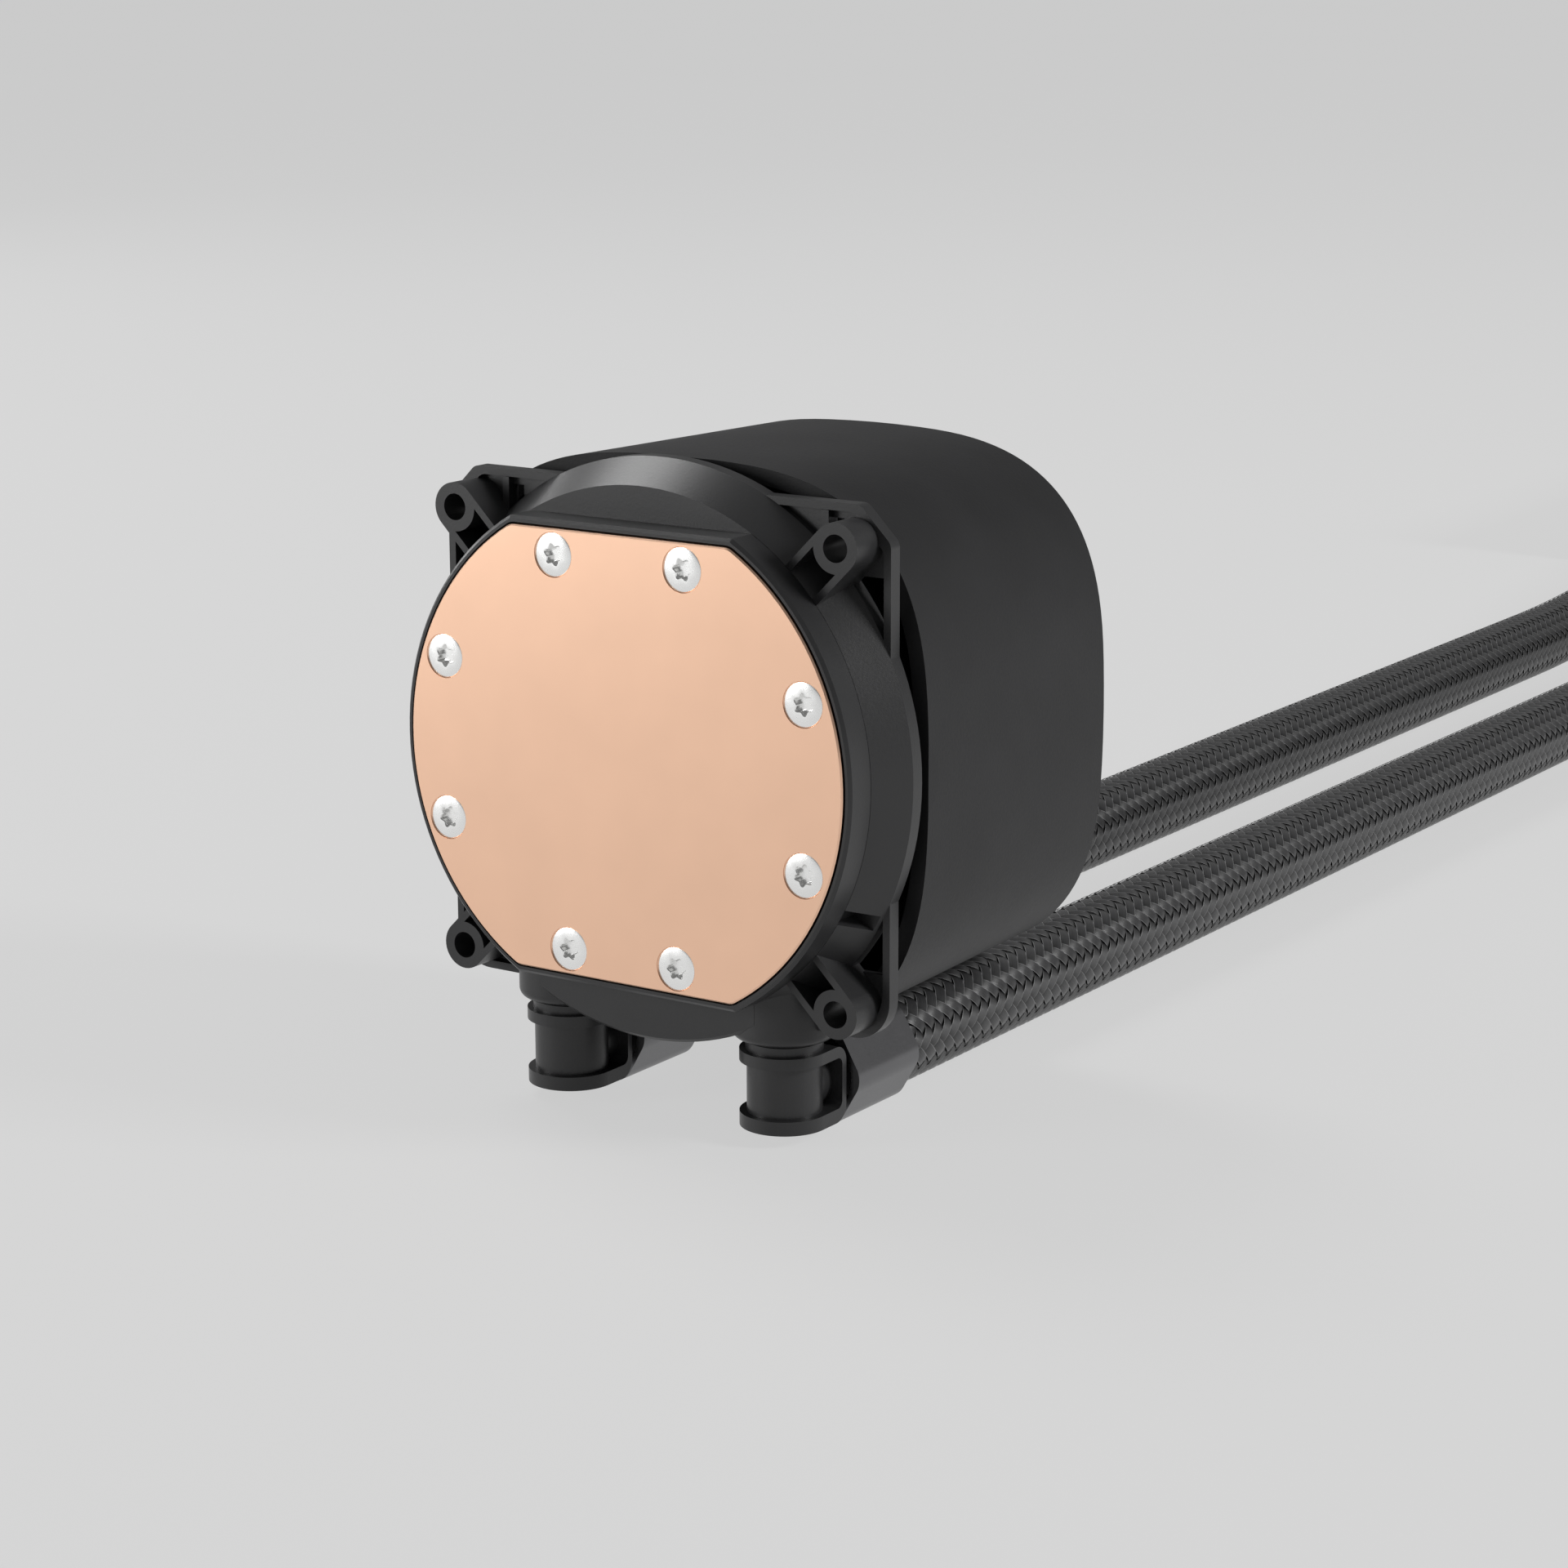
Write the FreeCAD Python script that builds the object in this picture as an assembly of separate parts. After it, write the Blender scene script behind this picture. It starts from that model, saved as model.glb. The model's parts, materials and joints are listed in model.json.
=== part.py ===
import FreeCAD, Part

import math
import os

# All in one liquid cooler: a pump head with a copper cold plate, two swivel elbow fittings,
# two braided hoses and a two fan radiator. Millimetres, +Z up.
# The origin is the middle of the cold plate's outer face. The plate looks along -Y, the pump
# axis runs along +Y, and the hoses leave along +Y below the head.

V = FreeCAD.Vector

# Cold plate
plate_margin = 9.8
plate_flat_cut = 4.4
plate_corner_r = 2.0
plate_t = 2.5
plate_edge = 0.2
micro_fin_count = 20
micro_fin_pitch = 1.5
micro_fin_t = 0.6
micro_fin_h = 3.0
micro_fin_len = 30.0

# Cold plate screws
screw_head_r = 2.75
screw_shank_r = 1.25
screw_len = 8.4
screw_sunk = 0.1
screw_head_gap = 0.1
screw_drive_r = 1.1
screw_drive_depth = 0.8
screw_top_x = 9.65
screw_bottom_x = 8.2
screw_flat_inset = 3.25
screw_side_inset = 3.6
screw_side_angle = 21.1

# Plate seal, in a groove of the frame
seal_land = 1.7
seal_w = 1.6
seal_t = 0.9

# Pump frame
lip_gap = 0.25
lip_w = 0.8
lip_back = 0.3
lip_chamfer = 0.4
lip_corner_r = 0.6
lip_inset = 0.04
apron_inset = 0.2
step_y = 4.7
flange_proud = 0.55
flange_y = 9.3
flange_t = 1.95
skirt_wall = 5.5
skirt_len = 7.0
snap_groove_y = 3.4
snap_groove_w = 1.8
snap_groove_depth = 0.8
can_ledge_w = 6.5
web_y = 7.0
web_t = 1.8
eye_r = 5.0
can_seat_gap = 0.5
can_seat_y = 16.0

# Corner brackets and ears
bracket_side_w = 4.8
bracket_top_w = 4.65
bracket_low_w = 4.1
bracket_corner = 4.4
bracket_corner_r = 1.5
bracket_low_r = 5.2
bracket_rim = 1.0
bracket_floor = 0.9
bracket_window_low = 13.0
bracket_window_gap = 4.1
ear_pitch = 57.0
ear_r = 3.1
ear_hole_r = 1.7
ear_front = 4.6
ear_rib_t = 0.9
bracket_rib_t = 1.0
bracket_rib_gap = 4.5
bracket_slot_w = 1.6
bracket_slot_len = 4.5
notch_h = 2.2
notch_sunk = 0.5
notch_end = 0.4
notch_angle = -29.0

# Ports of the frame, one each side, for the swivel fittings
port_x = 16.57
port_y = 11.37
port_foot_z = -34.75
port_step = 0.55
port_step_y = 4.0
port_top_z = -24.0
port_back = 5.9
port_sunk = 0.03
port_edge = 1.2
passage_r = 2.4
passage_top_z = -11.0
side_channel_r = 1.8
side_channel_y = 5.7
side_channel_z = -23.0

# Swivel elbow fittings
spigot_r = 4.2
spigot_play = 0.05
spigot_len = 9.0
spigot_end_gap = 0.5
fitting_bore_r = 2.5
neck_r = 4.9
neck_h = 1.15
neck_gap = 0.35
oring_t = 1.1
oring_lower = 1.4
oring_step = 2.3
clip_t = 0.8
clip_play = 0.3
clip_from_top = 1.2
clip_groove_depth = 0.9
clip_r = 5.6
clip_mouth = 5.0
swivel_flange_r = 5.66
swivel_top_t = 1.5
swivel_low_t = 1.8
swivel_gap_h = 6.6
swivel_wall_y = 4.5
swivel_wall_t = 0.9
swivel_corner_r = 2.2
swivel_window_r = 1.0
post_r = 4.74
elbow_tube_r = 4.1
barb_r = 3.0
barb_ridge_r = 3.42
barb_ridges = 3
barb_ridge_pitch = 3.4
barb_len = 13.5
barb_bore_r = 2.2

# Crimp collars
collar_flat = 6.55
collar_len = 14.4
collar_round = 3.2
collar_wall = 0.7
collar_gap = 0.8
collar_edge = 0.3

# Hoses
hose_r = 6.22
hose_bore_r = 3.75
hose_set_back = 1.0
hose_fit = 0.3

# Impeller and rotor
eye_gap = 0.6
impeller_r = 15.0
vane_h = 2.6
vane_count = 7
vane_t = 0.9
vane_root_r = 4.2
vane_sweep = 55.0
disc_t = 1.2
hub_r = 4.6
rotor_core_r = 8.0
magnet_r = 10.4
magnet_len = 19.0
magnet_end = 0.4
bush_r = 3.2
bush_play = 0.05
shaft_r = 1.5
shaft_tip = 0.6
shaft_seat_play = 0.03

# Motor can
can_flange_gap = 0.3
can_flange_t = 1.4
can_wall = 0.9
can_gap = 0.8
can_end_t = 1.2
can_end_gap = 1.4
can_boss_r = 3.0
can_boss_h = 1.6
can_screw_r = 1.0
can_screw_head_r = 1.9
can_screw_head_t = 1.2
can_screw_len = 5.0
can_screw_inset = 3.2

# Stator
stator_gap = 0.2
stator_y = 20.5
stator_len = 14.5
stator_depth = 11.1
stator_yoke = 3.6
stator_teeth = 6
tooth_w = 5.0
tooth_tip_t = 1.4
tooth_slot = 3.0
winding_t = 2.2
winding_play = 0.1
winding_end = 0.4

# Circuit board and what it carries
post_gap = 0.2
post_screw_r = 0.9
board_post_r = 1.7
board_y = 39.0
board_margin = 0.2
board_t = 1.6
board_flat = 24.0
board_screw_head_r = 1.8
board_screw_head_t = 1.2
board_screw_len = 4.0
chip_w = 7.0
chip_t = 0.9
cap_r = 3.15
cap_h = 7.0
cap_x = 9.5
cap_z = -11.0
socket_w = 9.0
socket_t = 5.8
socket_len = 7.0
socket_wall = 0.9
socket_x = -22.0
socket_pin_r = 0.35
socket_pin_count = 4
socket_pin_pitch = 1.8

# Pump cover
cover_skirt_gap = 1.0
cover_taper = 0.95
cover_power = 3.06
cover_gap = 2.35
cover_len = 44.8
cover_wall = 2.0
cover_end = 2.2
cover_edge = 0.4
cover_hose_gap = 1.48
cover_points = 40
cover_notch_play = 0.4
snap_w = 10.0
snap_play = 0.15
cable_slot_w = 9.0
cable_slot_h = 5.6

# Radiator
rad_y = 455.0
rad_w = 120.0
rad_t = 27.0
core_len = 240.0
tank_len = 18.0
tank_wall = 1.5
tank_round = 3.0
rail_t = 1.2
rail_flange = 11.0
tube_count = 12
tube_t = 2.0
tube_w = 20.0
tube_wall = 0.4
fold_step = 10.0
fold_t = 0.4
fan_hole_inset = 7.5
fan_hole_r = 1.75
rad_port_x = 21.0
rad_port_r = 6.0
rad_port_len = 3.0
plug_r = 6.0
plug_head_t = 3.0
plug_thread_r = 4.0
plug_thread_len = 5.0
plug_thread_play = 0.05
plug_slot_w = 1.6
plug_seal_t = 1.0
plug_x = 35.0

# Places that follow from the sizes above
flange_back = flange_y + flange_t
skirt_end = flange_back + skirt_len
port_r = port_y - step_y - port_sunk
port_back_y = port_y + port_back
neck_foot_z = port_foot_z - neck_gap - neck_h
spigot_base_z = port_foot_z - neck_gap
spigot_top_z = spigot_base_z + spigot_len
clip_z = spigot_top_z - clip_from_top
gap_top_z = neck_foot_z - swivel_top_t
gap_low_z = gap_top_z - swivel_gap_h
fitting_low_z = gap_low_z - swivel_low_t
hose_z = (neck_foot_z + fitting_low_z) / 2
wall_y = port_y + swivel_wall_y
wall_back = wall_y + swivel_wall_t
collar_y = wall_back + collar_gap
hose_y = collar_y + hose_set_back
hose_grip_r = collar_flat - collar_wall - hose_fit
vane_y = web_y + web_t + eye_gap
disc_y = vane_y + vane_h
magnet_y = disc_y + disc_t + magnet_end
rotor_end = magnet_y + magnet_len
can_in_r = magnet_r + can_gap
can_out_r = can_in_r + can_wall
stator_r = can_out_r + stator_gap + stator_depth
post_ring = stator_r + post_gap + board_post_r
board_r = post_ring + board_post_r + board_margin
can_seat_r = post_ring + board_post_r + can_seat_gap
can_screw_ring = can_seat_r - can_screw_inset
chamber_r = can_seat_r - can_ledge_w
seal_r = chamber_r + seal_land
plate_r = seal_r + plate_margin
plate_flat = plate_r - plate_flat_cut
lip_r = plate_r + lip_gap + lip_w
lip_flat = plate_flat + lip_gap + lip_w
skirt_r = can_seat_r + skirt_wall
cover_half = skirt_r + cover_skirt_gap + cover_wall
cover_back_half = cover_half - cover_taper
cover_flat_z = hose_z + hose_r + cover_hose_gap
flange_r = cover_half + flange_proud
bracket_half = ear_pitch / 2 + bracket_side_w
bracket_high = ear_pitch / 2 + bracket_top_w
bracket_low = ear_pitch / 2 + bracket_low_w
bracket_window_high = ear_pitch / 2 - bracket_window_gap
bracket_rib_x = ear_pitch / 2 - bracket_rib_gap
can_flange_back = can_seat_y + can_flange_t
can_end_y = rotor_end + can_end_gap + can_boss_h
can_back = can_end_y + can_end_t
cover_y = flange_back + cover_gap
cover_back = cover_y + cover_len
floor_z = hose_z - collar_flat
rad_mid_z = floor_z + rad_t / 2
core_y = rad_y + tank_len
core_back = core_y + core_len
rad_back = core_back + tank_len
rad_collar_y = rad_y - rad_port_len - collar_gap
rad_hose_y = rad_collar_y - hose_set_back

# Hose route of the right side, end to end. The long first run is straight beside the head,
# then the hose rises gently to the radiator's port.
hose_route = [
    (port_x, hose_y, hose_z),
    (port_x, 350.0, hose_z),
    (rad_port_x, 412.0, rad_mid_z),
    (rad_port_x, rad_hose_y, rad_mid_z),
]


def turned(profile):
    """Turn a closed outline of (radius, y) points about the pump axis."""
    points = [V(r, y, 0) for r, y in profile]
    face = Part.Face(Part.makePolygon(points + points[:1]))
    return face.revolve(V(0, 0, 0), V(0, 1, 0), 360)


def along_y(radius, x, z, y0, y1):
    """A rod along Y between two stations."""
    return Part.makeCylinder(radius, y1 - y0, V(x, y0, z), V(0, 1, 0))


def along_z(radius, x, y, z0, z1):
    """A rod along Z between two heights."""
    return Part.makeCylinder(radius, z1 - z0, V(x, y, z0), V(0, 0, 1))


def block(x0, x1, y0, y1, z0, z1):
    """A plain block between two corners."""
    return Part.makeBox(x1 - x0, y1 - y0, z1 - z0, V(x0, y0, z0))


def about_axis(shape, angle):
    """A copy of a shape turned about the pump axis."""
    copy = shape.copy()
    copy.rotate(V(0, 0, 0), V(0, 1, 0), angle)
    return copy


def mirrored(shape):
    """The same shape on the other side of the pump."""
    return shape.mirror(V(0, 0, 0), V(1, 0, 0))


def straight_edges(shape, direction):
    """The straight edges that run along a direction."""
    found = []
    for edge in shape.Edges:
        if isinstance(edge.Curve, Part.Line):
            run = edge.tangentAt(edge.FirstParameter)
            if abs(run.dot(direction)) > 0.999:
                found.append(edge)
    return found


def rim_edges(shape, axis, level):
    """The edges that lie at one level along an axis, 0 for X, 1 for Y and 2 for Z."""
    found = []
    for edge in shape.Edges:
        box = edge.BoundBox
        low = (box.XMin, box.YMin, box.ZMin)[axis]
        high = (box.XMax, box.YMax, box.ZMax)[axis]
        if abs(low - level) < 1e-3 and abs(high - level) < 1e-3:
            found.append(edge)
    return found


def truncated_disc(radius, flat, corner_r, y0, y1):
    """A disc about the pump axis with a flat above and below and rounded corners."""
    half = math.sqrt(radius ** 2 - flat ** 2)
    right_top = V(half, y0, flat)
    right_low = V(half, y0, -flat)
    left_low = V(-half, y0, -flat)
    left_top = V(-half, y0, flat)
    edges = [
        Part.LineSegment(left_top, right_top).toShape(),
        Part.Arc(right_top, V(radius, y0, 0), right_low).toShape(),
        Part.LineSegment(right_low, left_low).toShape(),
        Part.Arc(left_low, V(-radius, y0, 0), left_top).toShape(),
    ]
    solid = Part.Face(Part.Wire(edges)).extrude(V(0, y1 - y0, 0))
    return solid.makeFillet(corner_r, straight_edges(solid, V(0, 1, 0)))


def screw_places():
    """The centres (x, z) of the eight cold plate screws."""
    high = plate_flat - screw_flat_inset
    ring = plate_r - screw_side_inset
    side_x = ring * math.cos(math.radians(screw_side_angle))
    side_z = ring * math.sin(math.radians(screw_side_angle))
    right = [(screw_top_x, high), (side_x, side_z), (side_x, -side_z), (screw_bottom_x, -high)]
    return right + [(-x, z) for x, z in right]


def make_cold_plate():
    """Copper plate with sunk screw holes and skived fins on its wet side."""
    plate = truncated_disc(plate_r, plate_flat, plate_corner_r, 0, plate_t)
    plate = plate.makeChamfer(plate_edge, rim_edges(plate, 1, 0))
    cuts = []
    for x, z in screw_places():
        cuts.append(along_y(screw_shank_r + 2 * screw_head_gap, x, z, -1, plate_t + 1))
        rim = screw_head_r + screw_head_gap
        depth = rim - screw_shank_r
        cuts.append(Part.makeCone(rim, screw_shank_r, depth, V(x, screw_sunk, z), V(0, 1, 0)))
        cuts.append(along_y(rim, x, z, -1, screw_sunk))
    plate = plate.cut(cuts)
    first = -(micro_fin_count - 1) * micro_fin_pitch / 2
    root = plate_t / 2
    fins = []
    for i in range(micro_fin_count):
        x = first + i * micro_fin_pitch
        half = micro_fin_len / 2
        tip = plate_t + micro_fin_h
        fins.append(block(x - micro_fin_t / 2, x + micro_fin_t / 2, root, tip, -half, half))
    return plate.fuse(fins).removeSplitter()


def make_plate_screw():
    """One flat head screw, its head at the plate's face."""
    depth = screw_head_r - screw_shank_r
    head = Part.makeCone(screw_head_r, screw_shank_r, depth, V(0, screw_sunk, 0), V(0, 1, 0))
    shank = along_y(screw_shank_r, 0, 0, screw_sunk + depth / 2, screw_len)
    corners = []
    for i in range(6):
        turn = math.radians(60 * i)
        corners.append(V(screw_drive_r * math.cos(turn), 0, screw_drive_r * math.sin(turn)))
    socket = Part.Face(Part.makePolygon(corners + corners[:1]))
    socket = socket.extrude(V(0, screw_sunk + screw_drive_depth, 0))
    return head.fuse(shank).cut(socket)


def make_plate_screws():
    """The eight plate screws, as one group."""
    screw = make_plate_screw()
    group = []
    for x, z in screw_places():
        copy = screw.copy()
        copy.translate(V(x, 0, z))
        group.append(copy)
    return Part.makeCompound(group)


def make_plate_seal():
    """Square section seal ring between the plate and the frame."""
    return turned([
        (seal_r, plate_t), (seal_r + seal_w, plate_t),
        (seal_r + seal_w, plate_t + seal_t), (seal_r, plate_t + seal_t),
    ])


def frame_ring():
    """Turned outside of the frame: flared ring, flange and rear skirt with its snap groove."""
    groove_y = flange_back + snap_groove_y
    floor_r = skirt_r - snap_groove_depth
    return turned([
        (0, step_y), (lip_r, step_y), (flange_r, flange_y), (flange_r, flange_back), (skirt_r, flange_back),
        (skirt_r, groove_y), (floor_r, groove_y), (floor_r, groove_y + snap_groove_w),
        (skirt_r, groove_y + snap_groove_w), (skirt_r, skirt_end), (0, skirt_end),
    ])


def frame_lip():
    """Raised boss round the cold plate."""
    lip = truncated_disc(lip_r - lip_inset, lip_flat, lip_corner_r, lip_back, step_y + lip_w)
    return lip.makeChamfer(lip_chamfer, rim_edges(lip, 1, lip_back))


def frame_hollow():
    """Space inside the frame: plate pocket, fin chamber, web eye, pump chamber and can seat."""
    web_back = web_y + web_t
    end = skirt_end + 1
    wet = turned([
        (0, plate_t - 0.5), (chamber_r, plate_t - 0.5), (chamber_r, web_y), (eye_r, web_y),
        (eye_r, web_back), (chamber_r, web_back), (chamber_r, can_seat_y), (can_seat_r, can_seat_y),
        (can_seat_r, end), (0, end),
    ])
    pocket = truncated_disc(
        plate_r + lip_gap, plate_flat + lip_gap, plate_corner_r + lip_gap, lip_back - 1, plate_t)
    groove = turned([
        (seal_r, plate_t - 0.5), (seal_r + seal_w, plate_t - 0.5),
        (seal_r + seal_w, plate_t + seal_t), (seal_r, plate_t + seal_t),
    ])
    return [wet, pocket, groove]


def bracket_outline(inset, y0, y1):
    """Square plate with cut upper corners and round lower corners, drawn in by an inset."""
    half = bracket_half - inset
    high = bracket_high - inset
    low = bracket_low - inset
    cut = bracket_corner
    points = [
        V(half, y0, -low), V(half, y0, high - cut), V(half - cut, y0, high),
        V(cut - half, y0, high), V(-half, y0, high - cut), V(-half, y0, -low),
    ]
    plate = Part.Face(Part.makePolygon(points + points[:1])).extrude(V(0, y1 - y0, 0))
    lower = [e for e in straight_edges(plate, V(0, 1, 0)) if e.BoundBox.ZMax < 0]
    plate = plate.makeFillet(bracket_low_r, lower)
    upper = [e for e in straight_edges(plate, V(0, 1, 0)) if e.BoundBox.ZMax > half / 2]
    return plate.makeFillet(bracket_corner_r, upper)


def frame_brackets():
    """Four corner brackets: a floor with a raised rim, a rib and a slot in each."""
    plate = bracket_outline(0, flange_y, flange_back)
    floor_y = flange_back - bracket_floor
    pockets = bracket_outline(bracket_rim, flange_y - 1, floor_y)
    plate = plate.cut(pockets)
    ribs = []
    slots = []
    inner = bracket_low - bracket_rim
    for side in (-1, 1):
        for up in (-1, 1):
            span_x = sorted((side * bracket_rib_x, side * (bracket_half - bracket_rim)))
            span_z = sorted((up * bracket_window_low, up * bracket_window_high))
            slots.append(block(*span_x, flange_y - 1, flange_back + 1, *span_z))
            x = side * bracket_rib_x
            z = sorted((up * (inner - bracket_slot_len), up * (inner - 0.5)))
            rib_z = sorted((up * (inner - bracket_slot_len), up * (bracket_low - bracket_rim / 2)))
            ribs.append(block(x - bracket_rib_t / 2, x + bracket_rib_t / 2, flange_y, flange_back, *rib_z))
            edge = x + bracket_rib_t / 2
            slots.append(block(edge, edge + bracket_slot_w, floor_y - 1, flange_back + 1, *z))
    return plate.cut(slots).fuse(ribs)


def frame_apron():
    """Lower part of the ring, full width from the step, between the two ports."""
    disc = along_y(flange_r - apron_inset, 0, 0, step_y, flange_back)
    disc = disc.makeChamfer(lip_chamfer, rim_edges(disc, 1, step_y))
    return disc.common(block(-port_x, port_x, 0, flange_back, -flange_r - 1, port_top_z))


def frame_ear():
    """One screw ear with two tangent ribs, lying along +X before it is turned to its corner."""
    reach = ear_pitch / math.sqrt(2)
    floor_y = flange_back - bracket_floor / 2
    boss = along_y(ear_r, reach, 0, ear_front, flange_back)
    start = lip_r - 1
    ribs = []
    for side in (-1, 1):
        z = sorted((side * ear_r, side * (ear_r - ear_rib_t)))
        ribs.append(block(start, reach, ear_front, floor_y, z[0], z[1]))
    return boss.fuse(ribs)


def frame_port():
    """Solid boss of the right port, flush with the step at its front."""
    boss = along_z(port_r, port_x, port_y, port_foot_z, port_top_z)
    boss = boss.makeFillet(port_edge, rim_edges(boss, 2, port_foot_z))
    boss = boss.common(block(0, 2 * port_x, 0, port_back_y, port_foot_z, port_top_z))
    step_z = port_foot_z + port_step
    step = block(0, 2 * port_x, port_y + port_step_y, port_back_y + 1, port_foot_z - 1, step_z)
    return boss.cut(step)


def port_cuts():
    """Bore, clip pocket and passage of the right port."""
    bore = along_z(spigot_r + spigot_play, port_x, port_y, port_foot_z - 1, spigot_top_z + spigot_end_gap)
    half = clip_t / 2 + spigot_play
    pocket = along_z(clip_r + spigot_play, port_x, port_y, clip_z - half, clip_z + half)
    passage = along_z(passage_r, port_x, port_y, spigot_top_z, passage_top_z)
    return [bore, pocket, passage]


def return_cuts():
    """Passages of the left port, which runs forward to the fin chamber."""
    bore = mirrored(port_cuts()[0])
    pocket = mirrored(port_cuts()[1])
    rise = along_z(passage_r, -port_x, port_y, spigot_top_z, side_channel_z + side_channel_r)
    forward = along_y(side_channel_r, -port_x, side_channel_z, side_channel_y, port_y)
    foot = side_channel_z - side_channel_r / 2
    up = along_z(side_channel_r, -port_x, side_channel_y, foot, passage_top_z)
    return [bore, pocket, rise, forward, up]


def notch_cut():
    """Rectangular notch low in the flared ring, open in front."""
    notch = block(
        lip_r - notch_sunk, flange_r + 1, step_y, flange_y - notch_end, -notch_h / 2, notch_h / 2)
    return about_axis(notch, -notch_angle)


def make_pump_frame():
    """Moulded frame that carries the cold plate, the pump, the ears and the ports."""
    frame = frame_ring().fuse([frame_lip(), frame_brackets(), frame_apron()])
    ears = [about_axis(frame_ear(), 45 + 90 * i) for i in range(4)]
    frame = frame.fuse(ears)
    frame = frame.fuse([frame_port(), mirrored(frame_port())])
    reach = ear_pitch / math.sqrt(2)
    ear_hole = along_y(ear_hole_r, reach, 0, ear_front - 1, flange_back + 1)
    cuts = [about_axis(ear_hole, 45 + 90 * i) for i in range(4)]
    for x, z in screw_places():
        cuts.append(along_y(screw_shank_r, x, z, plate_t - 1, screw_len + 0.5))
    for x, z in can_screw_places():
        cuts.append(along_y(can_screw_r, x, z, can_seat_y - can_screw_len, can_seat_y + 1))
    cuts.append(notch_cut())
    return frame.cut(cuts + frame_hollow() + port_cuts() + return_cuts())


def make_jet_plate():
    """Thin plate over the fins with the slot that feeds them."""
    y = plate_t + micro_fin_h + 0.1
    plate = along_y(chamber_r - 0.3, 0, 0, y, y + 1)
    slot = block(-micro_fin_len / 2, micro_fin_len / 2, y - 1, y + 2, -1.2, 1.2)
    return plate.cut(slot)


def vane():
    """One back swept vane between its root and the impeller's rim."""
    tip_r = impeller_r - 0.2
    sides = []
    for side in (1, -1):
        row = []
        for share in (0, 0.5, 1):
            r = vane_root_r + (tip_r - vane_root_r) * share
            turn = math.radians(vane_sweep) * share + side * vane_t / (2 * r)
            row.append(V(r * math.cos(turn), vane_y, r * math.sin(turn)))
        sides.append(row)
    outer, inner = sides
    edges = [
        Part.Arc(outer[0], outer[1], outer[2]).toShape(),
        Part.LineSegment(outer[2], inner[2]).toShape(),
        Part.Arc(inner[2], inner[1], inner[0]).toShape(),
        Part.LineSegment(inner[0], outer[0]).toShape(),
    ]
    return Part.Face(Part.Wire(edges)).extrude(V(0, vane_h + disc_t / 2, 0))


def make_impeller():
    """Impeller disc with swept vanes, moulded in one with the rotor core."""
    body = turned([
        (bush_r, vane_y), (hub_r, vane_y), (hub_r, disc_y), (impeller_r, disc_y),
        (impeller_r, disc_y + disc_t), (rotor_core_r, disc_y + disc_t),
        (rotor_core_r, rotor_end), (bush_r, rotor_end),
    ])
    vanes = [about_axis(vane(), 360 / vane_count * i) for i in range(vane_count)]
    return body.fuse(vanes).removeSplitter()


def make_rotor_magnet():
    """Ring magnet on the rotor core."""
    return turned([
        (rotor_core_r, magnet_y), (magnet_r, magnet_y), (magnet_r, rotor_end), (rotor_core_r, rotor_end),
    ])


def make_rotor_bush():
    """Carbon bush pressed into the rotor core."""
    hole = shaft_r + bush_play
    return turned([(hole, vane_y), (bush_r, vane_y), (bush_r, rotor_end), (hole, rotor_end)])


def make_rotor_shaft():
    """Ceramic shaft held in the end of the motor can."""
    shaft = along_y(shaft_r, 0, 0, vane_y - shaft_tip, can_end_y + can_end_t / 2)
    return shaft.makeChamfer(shaft_r / 4, rim_edges(shaft, 1, vane_y - shaft_tip))


def can_screw_places():
    """The centres (x, z) of the four motor can screws."""
    ring = can_screw_ring
    return [(ring, 0), (0, ring), (-ring, 0), (0, -ring)]


def board_post_places():
    """The centres (x, z) of the three board posts."""
    turns = [math.radians(45 + 120 * i) for i in range(3)]
    return [(post_ring * math.cos(t), post_ring * math.sin(t)) for t in turns]


def make_motor_can():
    """Thin can that keeps the water from the stator, with posts for the board."""
    seat_r = shaft_r + shaft_seat_play
    can = turned([
        (can_seat_r - can_flange_gap, can_seat_y), (can_seat_r - can_flange_gap, can_flange_back),
        (can_out_r, can_flange_back), (can_out_r, can_back), (0, can_back), (0, can_end_y + can_end_t / 2),
        (seat_r, can_end_y + can_end_t / 2), (seat_r, can_end_y - can_boss_h),
        (can_boss_r, can_end_y - can_boss_h), (can_boss_r, can_end_y), (can_in_r, can_end_y),
        (can_in_r, can_seat_y),
    ])
    foot = can_seat_y + can_flange_t / 2
    posts = [along_y(board_post_r, x, z, foot, board_y) for x, z in board_post_places()]
    can = can.fuse(posts)
    cuts = [along_y(can_screw_r, x, z, can_seat_y - 1, can_flange_back + 1) for x, z in can_screw_places()]
    for x, z in board_post_places():
        cuts.append(along_y(post_screw_r, x, z, board_y - board_screw_len, board_y + 1))
    return can.cut(cuts).removeSplitter()


def pan_screw(head_r, head_t, shank_r, shank_len, x, z, seat_y):
    """Pan head screw whose head stands behind its seat."""
    head = along_y(head_r, x, z, seat_y, seat_y + head_t)
    head = head.makeChamfer(head_t * 0.4, rim_edges(head, 1, seat_y + head_t))
    shank = along_y(shank_r, x, z, seat_y - shank_len, seat_y)
    slot = block(x - head_r, x + head_r, seat_y + head_t / 2, seat_y + head_t + 1, z - 0.2, z + 0.2)
    return head.fuse(shank).cut(slot).removeSplitter()


def make_can_screws():
    """Four screws that hold the motor can to the frame."""
    return Part.makeCompound([
        pan_screw(can_screw_head_r, can_screw_head_t, can_screw_r, can_flange_t + can_screw_len - 0.5, x, z,
                  can_flange_back)
        for x, z in can_screw_places()
    ])


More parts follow.
